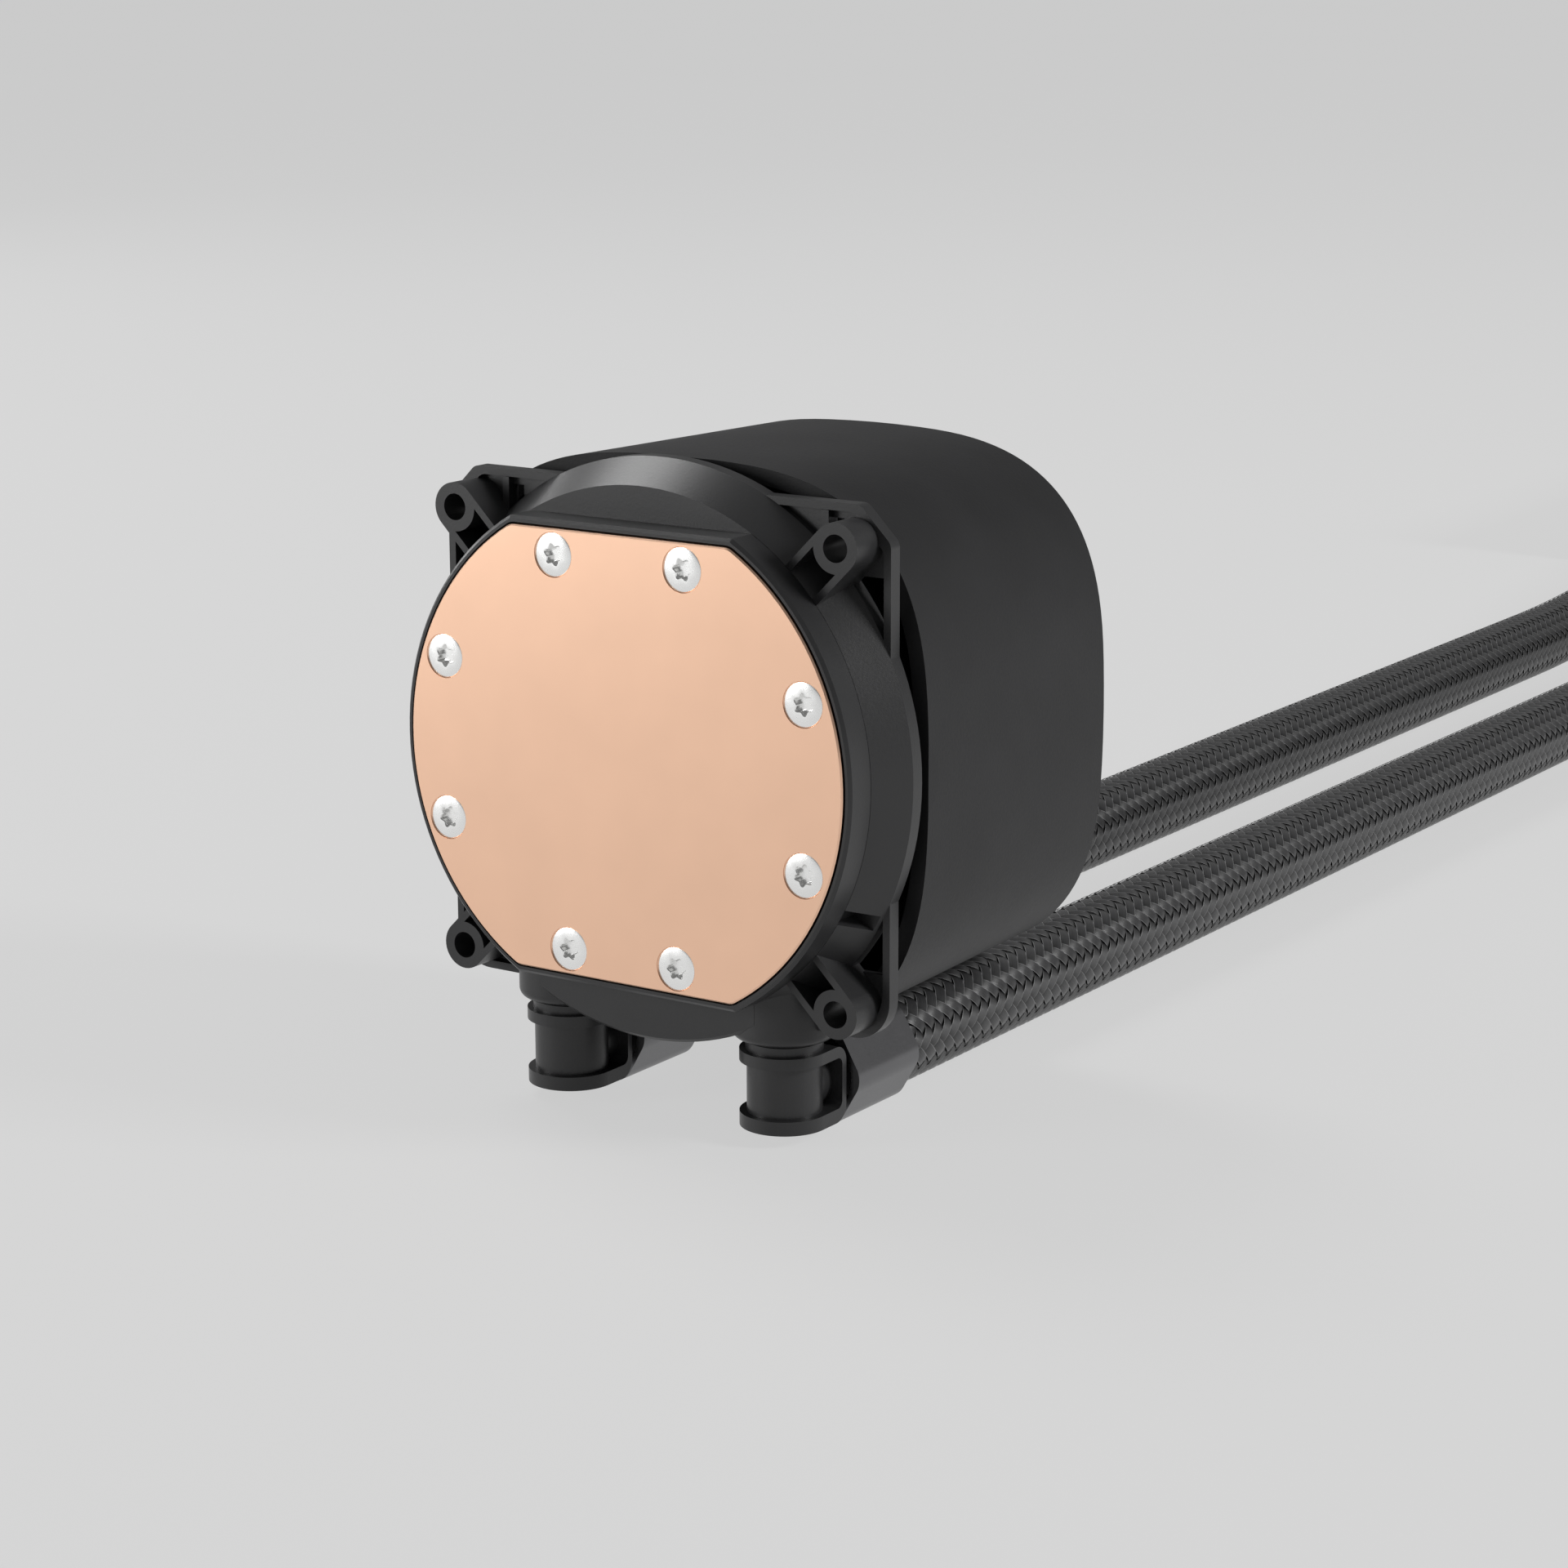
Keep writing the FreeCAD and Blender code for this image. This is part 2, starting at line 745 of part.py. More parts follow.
def make_stator_core():
    """Laminated stator with a yoke and teeth round the motor can."""
    tip_r = can_out_r + stator_gap
    yoke_in = stator_r - stator_yoke
    end = stator_y + stator_len
    yoke = turned([(yoke_in, stator_y), (stator_r, stator_y), (stator_r, end), (yoke_in, end)])
    tips = turned([
        (tip_r, stator_y), (tip_r + tooth_tip_t, stator_y), (tip_r + tooth_tip_t, end), (tip_r, end),
    ])
    tooth = block(tip_r + tooth_tip_t / 2, yoke_in + 0.5, stator_y, end, -tooth_w / 2, tooth_w / 2)
    slot = block(0, tip_r + tooth_tip_t + 1, stator_y - 1, end + 1, -tooth_slot / 2, tooth_slot / 2)
    step = 360 / stator_teeth
    tips = tips.cut([about_axis(slot, step * (i + 0.5)) for i in range(stator_teeth)])
    teeth = [about_axis(tooth, step * i) for i in range(stator_teeth)]
    return yoke.fuse([tips] + teeth).removeSplitter()


def make_stator_windings():
    """One copper winding round each tooth."""
    start = can_out_r + stator_gap + tooth_tip_t + winding_end
    inner = tooth_w / 2 + winding_play
    outer = inner + winding_t
    end = math.sqrt((stator_r - stator_yoke) ** 2 - outer ** 2) - winding_end
    low = stator_y - winding_play
    high = stator_y + stator_len + winding_play
    coil = block(start, end, low - winding_t, high + winding_t, -outer, outer)
    coil = coil.makeFillet(winding_t * 0.7, straight_edges(coil, V(1, 0, 0)))
    coil = coil.cut(block(start - 1, end + 1, low, high, -inner, inner))
    step = 360 / stator_teeth
    return Part.makeCompound([about_axis(coil, step * i) for i in range(stator_teeth)])


def make_circuit_board():
    """Round board with a flat beside the socket, on the posts of the can."""
    board = along_y(board_r, 0, 0, board_y, board_y + board_t)
    board = board.common(block(-board_flat, board_r, board_y - 1, board_y + board_t + 1, -board_r, board_r))
    end = board_y + board_t + 1
    holes = [along_y(post_screw_r, x, z, board_y - 1, end) for x, z in board_post_places()]
    return board.cut(holes)


def make_board_screws():
    """Three screws through the board into its posts."""
    return Part.makeCompound([
        pan_screw(board_screw_head_r, board_screw_head_t, post_screw_r, board_t + board_screw_len - 0.5, x, z,
                  board_y + board_t)
        for x, z in board_post_places()
    ])


def make_driver_chip():
    """Flat driver chip on the back of the board."""
    back = board_y + board_t
    chip = block(-chip_w / 2, chip_w / 2, back, back + chip_t, -chip_w / 2, chip_w / 2)
    return chip.makeChamfer(chip_t * 0.3, rim_edges(chip, 1, back + chip_t))


def make_capacitors():
    """Two round capacitors on the back of the board."""
    back = board_y + board_t
    group = []
    for side in (-1, 1):
        can = along_y(cap_r, side * cap_x, cap_z, back, back + cap_h)
        group.append(can.makeChamfer(cap_r * 0.12, rim_edges(can, 1, back + cap_h)))
    return Part.makeCompound(group)


def make_power_socket():
    """Socket on the board, open to the cable slot, with its pins."""
    back = board_y + board_t
    half = socket_w / 2
    shell = block(socket_x, socket_x + socket_len, back, back + socket_t, -half, half)
    well = block(
        socket_x - 1, socket_x + socket_len - socket_wall, back + socket_wall, back + socket_t - socket_wall,
        socket_wall - half, half - socket_wall)
    shell = shell.cut(well)
    first = -(socket_pin_count - 1) * socket_pin_pitch / 2
    pins = []
    for i in range(socket_pin_count):
        base = V(socket_x + 1, back + socket_t / 2, first + i * socket_pin_pitch)
        pins.append(Part.makeCylinder(socket_pin_r, socket_len - 1, base, V(1, 0, 0)))
    return shell.fuse(pins).removeSplitter()


def rounded_square(half, y):
    """Closed outline with |x|^p + |z|^p = half^p, one smooth curve."""
    points = []
    for i in range(cover_points):
        turn = 2 * math.pi * (i + 0.5) / cover_points
        c = math.cos(turn)
        s = math.sin(turn)
        x = math.copysign(abs(c) ** (2 / cover_power), c) * half
        z = math.copysign(abs(s) ** (2 / cover_power), s) * half
        points.append(V(x, y, z))
    curve = Part.BSplineCurve()
    curve.interpolate(Points=points, PeriodicFlag=True)
    return Part.Wire([curve.toShape()])


def cover_body(inset, y0, y1):
    """Tapered rounded-square body, drawn in by an inset, flat below."""
    slope = (cover_back_half - cover_half) / (cover_len - cover_edge)
    front = cover_half + slope * (y0 - cover_y) - inset
    back = cover_half + slope * (y1 - cover_y) - inset
    body = Part.makeLoft([rounded_square(front, y0), rounded_square(back, y1)], True, True)
    return body


def above_flat(body, inset):
    """The part of a cover body that lies above its flat underside."""
    keep = block(-cover_half, cover_half, 0, 2 * cover_back, cover_flat_z + inset, cover_half)
    return body.common(keep)


def make_pump_cover():
    """Moulded shell, open in front, with snap ridges, port notch and cable slot."""
    edge_y = cover_back - cover_edge
    edge = Part.makeLoft([
        rounded_square(cover_back_half, edge_y), rounded_square(cover_back_half - cover_edge, cover_back),
    ], True, True)
    outer = above_flat(cover_body(0, cover_y, edge_y).fuse(edge), 0)
    inner = above_flat(cover_body(cover_wall, cover_y - 1, cover_back - cover_end), cover_wall)
    cover = outer.cut(inner)
    notch = port_x + port_r + cover_notch_play
    cover = cover.cut(block(
        -notch, notch, cover_y - 1, skirt_end + cover_notch_play, -cover_half - 1, -chamber_r))
    slot_y = board_y + board_t + socket_t / 2
    cover = cover.cut(block(
        -cover_half - 1, 1 - can_seat_r, slot_y - cable_slot_h / 2, slot_y + cable_slot_h / 2,
        -cable_slot_w / 2, cable_slot_w / 2))
    groove_y = flange_back + snap_groove_y
    tip = skirt_r - snap_groove_depth + snap_play
    ridge = block(
        tip, cover_half - cover_wall / 2, groove_y + snap_play, groove_y + snap_groove_w - snap_play,
        -snap_w / 2, snap_w / 2)
    ridges = [about_axis(ridge, angle) for angle in (0, -90, 180)]
    return cover.fuse(ridges).removeSplitter()


def racetrack(radius, z0, z1):
    """Plan of a swivel flange: round in front, straight back to the wall."""
    front = V(port_x, port_y - radius, z0)
    right = V(port_x + radius, port_y, z0)
    left = V(port_x - radius, port_y, z0)
    back_right = V(port_x + radius, wall_back, z0)
    back_left = V(port_x - radius, wall_back, z0)
    edges = [
        Part.Arc(left, front, right).toShape(),
        Part.LineSegment(right, back_right).toShape(),
        Part.LineSegment(back_right, back_left).toShape(),
        Part.LineSegment(back_left, left).toShape(),
    ]
    return Part.Face(Part.Wire(edges)).extrude(V(0, 0, z1 - z0))


def swivel_frame():
    """Two flanges joined by the stop wall, open at the front and sides."""
    body = racetrack(swivel_flange_r, fitting_low_z, neck_foot_z)
    backs = []
    for edge in straight_edges(body, V(1, 0, 0)):
        backs.append(edge)
    body = body.makeFillet(swivel_corner_r, backs)
    wide = swivel_flange_r + 1
    window = block(port_x - wide, port_x + wide, port_y - wide, wall_y, gap_low_z, gap_top_z)
    corners = [e for e in straight_edges(window, V(1, 0, 0)) if e.BoundBox.YMin > port_y]
    window = window.makeFillet(swivel_window_r, corners)
    return body.cut(window)


def barb(y0, y1, x, z):
    """Ridged hose barb along Y, its tip at y1, hollow."""
    way = 1 if y1 > y0 else -1
    profile = [(barb_bore_r, 0), (elbow_tube_r, 0), (elbow_tube_r, hose_set_back), (barb_r, hose_set_back)]
    run = abs(y1 - y0)
    first = run - 0.6 - barb_ridges * barb_ridge_pitch
    for i in range(barb_ridges):
        start = first + i * barb_ridge_pitch
        profile.append((barb_r, start))
        profile.append((barb_ridge_r, start))
        profile.append((barb_r, start + barb_ridge_pitch * 0.8))
    profile.append((barb_r, run))
    profile.append((barb_bore_r, run))
    solid = turned([(r, way * y) for r, y in profile])
    solid.translate(V(x, y0, z))
    return solid


def groove(z, height, depth):
    """Ring cut into the spigot."""
    outer = along_z(spigot_r + 1, port_x, port_y, z - height / 2, z + height / 2)
    return outer.cut(along_z(spigot_r - depth, port_x, port_y, z - height, z + height))


def oring_heights():
    """Heights of the two O-rings on a spigot."""
    first = spigot_base_z + oring_lower
    return [first, first + oring_step]


def make_swivel():
    """Right swivel elbow: spigot, neck, flanges, post, wall and barb in one moulding."""
    body = swivel_frame()
    parts = [
        along_z(neck_r, port_x, port_y, neck_foot_z - swivel_top_t / 2, spigot_base_z),
        along_z(spigot_r, port_x, port_y, neck_foot_z - swivel_top_t / 2, spigot_top_z),
        along_z(post_r, port_x, port_y, gap_low_z - swivel_low_t / 2, neck_foot_z - swivel_top_t / 2),
        along_y(elbow_tube_r, port_x, hose_z, port_y, wall_back),
        barb(wall_back, wall_back + collar_gap + hose_set_back + barb_len, port_x, hose_z),
    ]
    body = body.fuse(parts)
    cuts = [
        along_z(fitting_bore_r, port_x, port_y, hose_z - fitting_bore_r, spigot_top_z + 1),
        along_y(barb_bore_r, port_x, hose_z, port_y, wall_back + 1),
        groove(clip_z, clip_t + 2 * clip_play, clip_groove_depth),
    ]
    for z in oring_heights():
        cuts.append(groove(z, oring_t + 0.3, oring_t))
    return body.cut(cuts).removeSplitter()


def make_orings():
    """The two O-rings of the right spigot, eight sided in section."""
    rings = []
    for z in oring_heights():
        corners = []
        for i in range(8):
            turn = math.radians(22.5 + 45 * i)
            reach = spigot_r - oring_t / 2 + oring_t / 2 * math.cos(turn)
            corners.append(V(port_x + reach, port_y, z + oring_t / 2 * math.sin(turn)))
        section = Part.Face(Part.makePolygon(corners + corners[:1]))
        rings.append(section.revolve(V(port_x, port_y, 0), V(0, 0, 1), 360))
    return Part.makeCompound(rings)


def make_clip():
    """Spring clip in the frame that holds the right spigot in its bore."""
    inner = spigot_r - clip_groove_depth + clip_play
    ring = along_z(clip_r, port_x, port_y, clip_z - clip_t / 2, clip_z + clip_t / 2)
    ring = ring.cut(along_z(inner, port_x, port_y, clip_z - clip_t, clip_z + clip_t))
    mouth = block(
        port_x - clip_mouth / 2, port_x + clip_mouth / 2, port_y, port_y + clip_r + 1, clip_z - 1, clip_z + 1)
    return ring.cut(mouth)


def make_collar(x, y, z):
    """Six sided crimp collar along Y, open at both ends."""
    corner = collar_flat / math.cos(math.radians(30))
    points = []
    for i in range(6):
        turn = math.radians(60 * i)
        points.append(V(x + corner * math.cos(turn), y, z + corner * math.sin(turn)))
    prism = Part.Face(Part.makePolygon(points + points[:1])).extrude(V(0, collar_len, 0))
    prism = prism.makeFillet(collar_round, straight_edges(prism, V(0, 1, 0)))
    prism = prism.makeChamfer(collar_edge, rim_edges(prism, 1, y + collar_len))
    return prism.cut(along_y(collar_flat - collar_wall, x, z, y - 1, y + collar_len + 1))


def hose_path(points):
    """Straight runs joined by tangent arcs, each as large as its two runs allow."""
    edges = []
    start = points[0]
    radii = []
    for i in range(1, len(points) - 1):
        back = points[i - 1] - points[i]
        ahead = points[i + 1] - points[i]
        shorter = min(back.Length, ahead.Length)
        turn = math.pi - back.getAngle(ahead)
        trim = 0.45 * shorter
        radius = trim / math.tan(turn / 2)
        radii.append(radius)
        back.normalize()
        ahead.normalize()
        enter = points[i] + back * trim
        leave = points[i] + ahead * trim
        bisector = back + ahead
        bisector.normalize()
        middle = points[i] + bisector * (radius / math.cos(turn / 2) - radius)
        edges.append(Part.LineSegment(start, enter).toShape())
        edges.append(Part.Arc(enter, middle, leave).toShape())
        start = leave
    edges.append(Part.LineSegment(start, points[-1]).toShape())
    return Part.Wire(edges), radii


def swept_rod(path, radius):
    """A rod of one radius along a path that starts along +Y."""
    start = path.OrderedVertexes[0].Point
    ring = Part.Wire([Part.makeCircle(radius, start, V(0, 1, 0))])
    return path.makePipeShell([ring], True, False)


def make_hose(side):
    """One hose from barb to barb, gripped thinner inside its two collars."""
    points = [V(side * x, y, z) for x, y, z in hose_route]
    grip_end = collar_y + collar_len
    rad_grip = rad_collar_y - collar_len
    first = V(points[0].x, grip_end, points[0].z)
    last = V(points[-1].x, rad_grip, points[-1].z)
    free = [first] + points[1:-1] + [last]
    path, radii = hose_path(free)
    tube = swept_rod(path, hose_r).cut(swept_rod(path, hose_bore_r))
    section = math.pi * (hose_r ** 2 - hose_bore_r ** 2)
    print("hose arc radii", [round(r) for r in radii], "length", round(path.Length + 2 * collar_len, 1),
          "volume over section and length", round(tube.Volume / (section * path.Length), 4))
    grips = []
    for x, z, y0, y1 in (
            (points[0].x, points[0].z, points[0].y, grip_end),
            (points[-1].x, points[-1].z, rad_grip, points[-1].y)):
        grips.append(along_y(hose_grip_r, x, z, y0, y1).cut(along_y(hose_bore_r, x, z, y0 - 1, y1 + 1)))
    return tube.fuse(grips)


def make_tank(y0, y1, open_y):
    """Radiator end tank, a thin walled trough whose open side meets the core."""
    half = rad_w / 2 - rail_t
    bottom = floor_z + rail_t
    top = floor_z + rad_t - rail_t
    tank = block(-half, half, y0, y1, bottom, top)
    far = y1 if open_y < y1 else y0
    tank = tank.makeFillet(tank_round, rim_edges(tank, 1, far))
    depth = tank_len - tank_wall
    well_y = sorted((open_y, open_y + depth if far > open_y else open_y - depth))
    well = block(
        tank_wall - half, half - tank_wall, well_y[0], well_y[1], bottom + tank_wall, top - tank_wall)
    return tank.cut(well)


def rad_port(side):
    """Hose barb of the inlet tank, looking towards the pump."""
    x = side * rad_port_x
    neck = along_y(rad_port_r, x, rad_mid_z, rad_y - rad_port_len, rad_y + tank_wall / 2)
    start = rad_y - rad_port_len
    tail = barb(start, start - collar_gap - hose_set_back - barb_len, x, rad_mid_z)
    return neck.fuse(tail)


def make_port_tank():
    """Near tank with the two hose barbs."""
    tank = make_tank(rad_y, core_y, core_y).fuse([rad_port(-1), rad_port(1)])
    bores = [
        along_y(barb_bore_r, side * rad_port_x, rad_mid_z, rad_y - rad_port_len - 1, rad_y + tank_len / 2)
        for side in (-1, 1)
    ]
    return tank.cut(bores).removeSplitter()


def make_end_tank():
    """Far tank with the threaded hole of the fill plug."""
    tank = make_tank(core_back, rad_back, core_back)
    hole_r = plug_thread_r + plug_thread_play
    return tank.cut(along_y(hole_r, plug_x, rad_mid_z, rad_back - tank_len / 2, rad_back + 1))


def make_fill_plug():
    """Slotted plug in the far tank."""
    seat = rad_back + plug_seal_t
    head = along_y(plug_r, plug_x, rad_mid_z, seat, seat + plug_head_t)
    head = head.makeChamfer(plug_head_t * 0.2, rim_edges(head, 1, seat + plug_head_t))
    shank = along_y(plug_thread_r, plug_x, rad_mid_z, seat - plug_thread_len, seat)
    slot = block(
        plug_x - plug_r, plug_x + plug_r, seat + plug_head_t / 2, seat + plug_head_t + 1,
        rad_mid_z - plug_slot_w / 2, rad_mid_z + plug_slot_w / 2)
    return head.fuse(shank).cut(slot).removeSplitter()


def make_plug_seal():
    """Flat ring under the plug's head."""
    ring = along_y(plug_r * 0.9, plug_x, rad_mid_z, rad_back, rad_back + plug_seal_t)
    hole_r = plug_thread_r + plug_thread_play
    return ring.cut(along_y(hole_r, plug_x, rad_mid_z, rad_back - 1, rad_back + plug_seal_t + 1))


def core_half():
    """Half the width between the side rails."""
    return rad_w / 2 - rail_t


def fold_width():
    """Width of one row of folded fins between two tubes."""
    return (2 * core_half() - tube_count * tube_t) / (tube_count + 1)


def make_flat_tubes():
    """Flat water tubes from tank to tank."""
    group = []
    for i in range(tube_count):
        x = -core_half() + (i + 1) * fold_width() + (i + 0.5) * tube_t
        shell = []
        for inset in (0, tube_wall):
            r = tube_t / 2 - inset
            reach = tube_w / 2 - tube_t / 2
            slab = block(x - r, x + r, core_y, core_back, rad_mid_z - reach, rad_mid_z + reach)
            ends = [along_y(r, x, rad_mid_z + side * reach, core_y, core_back) for side in (-1, 1)]
            shell.append(slab.fuse(ends).removeSplitter())
        group.append(shell[0].cut(shell[1]))
    return Part.makeCompound(group)


def make_folded_fins():
    """Rows of folded sheet between the tubes."""
    rows = []
    width = fold_width()
    legs = int(core_len / fold_step)
    step = core_len / legs
    for row in range(tube_count + 1):
        left = -core_half() + row * (width + tube_t)
        line = []
        for i in range(legs + 1):
            x = left if i % 2 == 0 else left + width - fold_t
            line.append(V(x, core_y + i * step, rad_mid_z - tube_w / 2))
        back = [p + V(fold_t, 0, 0) for p in reversed(line)]
        outline = line + back
        sheet = Part.Face(Part.makePolygon(outline + outline[:1])).extrude(V(0, 0, tube_w))
        rows.append(sheet)
    return Part.makeCompound(rows)


def fan_hole_stations():
    """Stations along Y of the screw holes of the two fans."""
    middle = (core_y + core_back) / 2
    fan_half = core_len / 4
    reach = fan_half - fan_hole_inset
    return [middle + fan * fan_half + way * reach for fan in (-1, 1) for way in (-1, 1)]


def make_side_rail(side):
    """Folded channel along one side of the radiator with the fan screw holes."""
    outer = rad_w / 2
    bottom = floor_z
    top = floor_z + rad_t
    channel = block(outer - rail_flange, outer, rad_y, rad_back, bottom, top)
    channel = channel.makeFillet(rail_t, [
        e for e in straight_edges(channel, V(0, 1, 0)) if e.BoundBox.XMin > outer - 0.1])
    channel = channel.cut(block(
        outer - rail_flange - 1, outer - rail_t, rad_y - 1, rad_back + 1, bottom + rail_t, top - rail_t))
    holes = []
    for y in fan_hole_stations():
        holes.append(along_z(fan_hole_r, outer - fan_hole_inset, y, bottom - 1, top + 1))
    rail = channel.cut(holes)
    return rail if side > 0 else mirrored(rail)


def export(name, shape):
    """Write one node's solids."""
    shape.exportStep("parts/" + name + ".step")
    solids = shape.Solids
    print(name, len(solids), "solids", round(sum(s.Volume for s in solids), 1), shape.isValid())


def main():
    """Build every node."""
    os.makedirs("parts", exist_ok=True)
    export("cold_plate", make_cold_plate())
    export("cold_plate_screws", make_plate_screws())
    export("cold_plate_seal", make_plate_seal())
    export("pump_frame", make_pump_frame())
    export("jet_plate", make_jet_plate())
    export("impeller", make_impeller())
    export("rotor_magnet", make_rotor_magnet())
    export("rotor_bush", make_rotor_bush())
    export("rotor_shaft", make_rotor_shaft())
    export("motor_can", make_motor_can())
    export("motor_can_screws", make_can_screws())
    export("stator_core", make_stator_core())
    export("stator_windings", make_stator_windings())
    export("circuit_board", make_circuit_board())
    export("circuit_board_screws", make_board_screws())
    export("driver_chip", make_driver_chip())
    export("capacitors", make_capacitors())
    export("power_socket", make_power_socket())
    export("pump_cover", make_pump_cover())
    for name, side in (("right", 1), ("left", -1)):
        swivel = make_swivel()
        rings = make_orings()
        clip = make_clip()
        collar = make_collar(port_x, collar_y, hose_z)
        far_collar = make_collar(rad_port_x, rad_collar_y - collar_len, rad_mid_z)
        if side < 0:
            swivel = mirrored(swivel)
            rings = mirrored(rings)
            clip = mirrored(clip)
            collar = mirrored(collar)
            far_collar = mirrored(far_collar)
        export(name + "_swivel_fitting", swivel)
        export(name + "_fitting_seals", rings)
        export(name + "_fitting_clip", clip)
        export(name + "_pump_collar", collar)
        export(name + "_radiator_collar", far_collar)
        export(name + "_hose", make_hose(side))
        export(name + "_side_rail", make_side_rail(side))
    export("radiator_port_tank", make_port_tank())
    export("radiator_end_tank", make_end_tank())
    export("radiator_flat_tubes", make_flat_tubes())
    export("radiator_fins", make_folded_fins())
    export("fill_plug", make_fill_plug())
    export("fill_plug_seal", make_plug_seal())


main()
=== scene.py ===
"""Looks of an all in one liquid cooler: copper plated pump head, braided hoses and radiator.

Lengths are in metres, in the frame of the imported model: the cold plate's outer face looks
along -Y, its middle is the origin, and the hoses run along +Y to the radiator.
"""

import json
import logging
import math
from dataclasses import dataclass, field
from enum import Enum

import bmesh
import bpy
from mathutils import Matrix, Vector
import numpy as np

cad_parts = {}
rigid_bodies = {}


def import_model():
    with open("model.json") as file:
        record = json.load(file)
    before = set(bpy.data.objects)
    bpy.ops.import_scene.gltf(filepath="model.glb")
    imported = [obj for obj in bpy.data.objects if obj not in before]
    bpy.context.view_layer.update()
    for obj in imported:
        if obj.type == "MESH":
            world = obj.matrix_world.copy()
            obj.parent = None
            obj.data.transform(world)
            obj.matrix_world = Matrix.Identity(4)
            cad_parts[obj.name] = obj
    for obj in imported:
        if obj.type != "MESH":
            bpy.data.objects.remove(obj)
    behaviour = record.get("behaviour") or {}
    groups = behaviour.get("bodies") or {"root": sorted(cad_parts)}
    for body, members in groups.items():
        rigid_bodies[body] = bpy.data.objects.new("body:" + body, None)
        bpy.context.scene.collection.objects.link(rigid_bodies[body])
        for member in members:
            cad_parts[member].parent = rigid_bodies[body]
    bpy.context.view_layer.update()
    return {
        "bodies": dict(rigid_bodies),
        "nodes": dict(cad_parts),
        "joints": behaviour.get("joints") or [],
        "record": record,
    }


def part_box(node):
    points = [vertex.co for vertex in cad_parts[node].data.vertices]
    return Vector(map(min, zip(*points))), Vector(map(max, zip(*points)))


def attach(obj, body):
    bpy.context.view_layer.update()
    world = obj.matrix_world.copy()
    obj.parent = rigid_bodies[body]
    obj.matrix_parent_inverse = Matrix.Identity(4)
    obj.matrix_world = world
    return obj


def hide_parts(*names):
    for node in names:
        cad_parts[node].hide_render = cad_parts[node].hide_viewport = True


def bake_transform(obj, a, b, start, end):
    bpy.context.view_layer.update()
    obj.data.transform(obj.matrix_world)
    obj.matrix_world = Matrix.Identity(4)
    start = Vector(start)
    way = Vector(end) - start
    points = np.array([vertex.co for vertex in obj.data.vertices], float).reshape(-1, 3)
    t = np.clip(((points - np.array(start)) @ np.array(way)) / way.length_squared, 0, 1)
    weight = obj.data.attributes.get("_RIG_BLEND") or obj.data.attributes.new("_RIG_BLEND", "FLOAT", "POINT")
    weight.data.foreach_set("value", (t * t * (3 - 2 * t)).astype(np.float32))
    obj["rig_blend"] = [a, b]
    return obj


log = logging.getLogger("cooler")

MM = 0.001


class Side(Enum):
    """The side of the pump head that a fitting and its hose belong to."""

    LEFT = -1
    RIGHT = 1

    @property
    def word(self) -> str:
        """The side's name as the nodes and bodies of the model use it."""
        return self.name.lower()


class Turn(Enum):
    """The hand of a yarn that winds round a hose."""

    CLOCKWISE = 1
    COUNTER = -1


# Shading


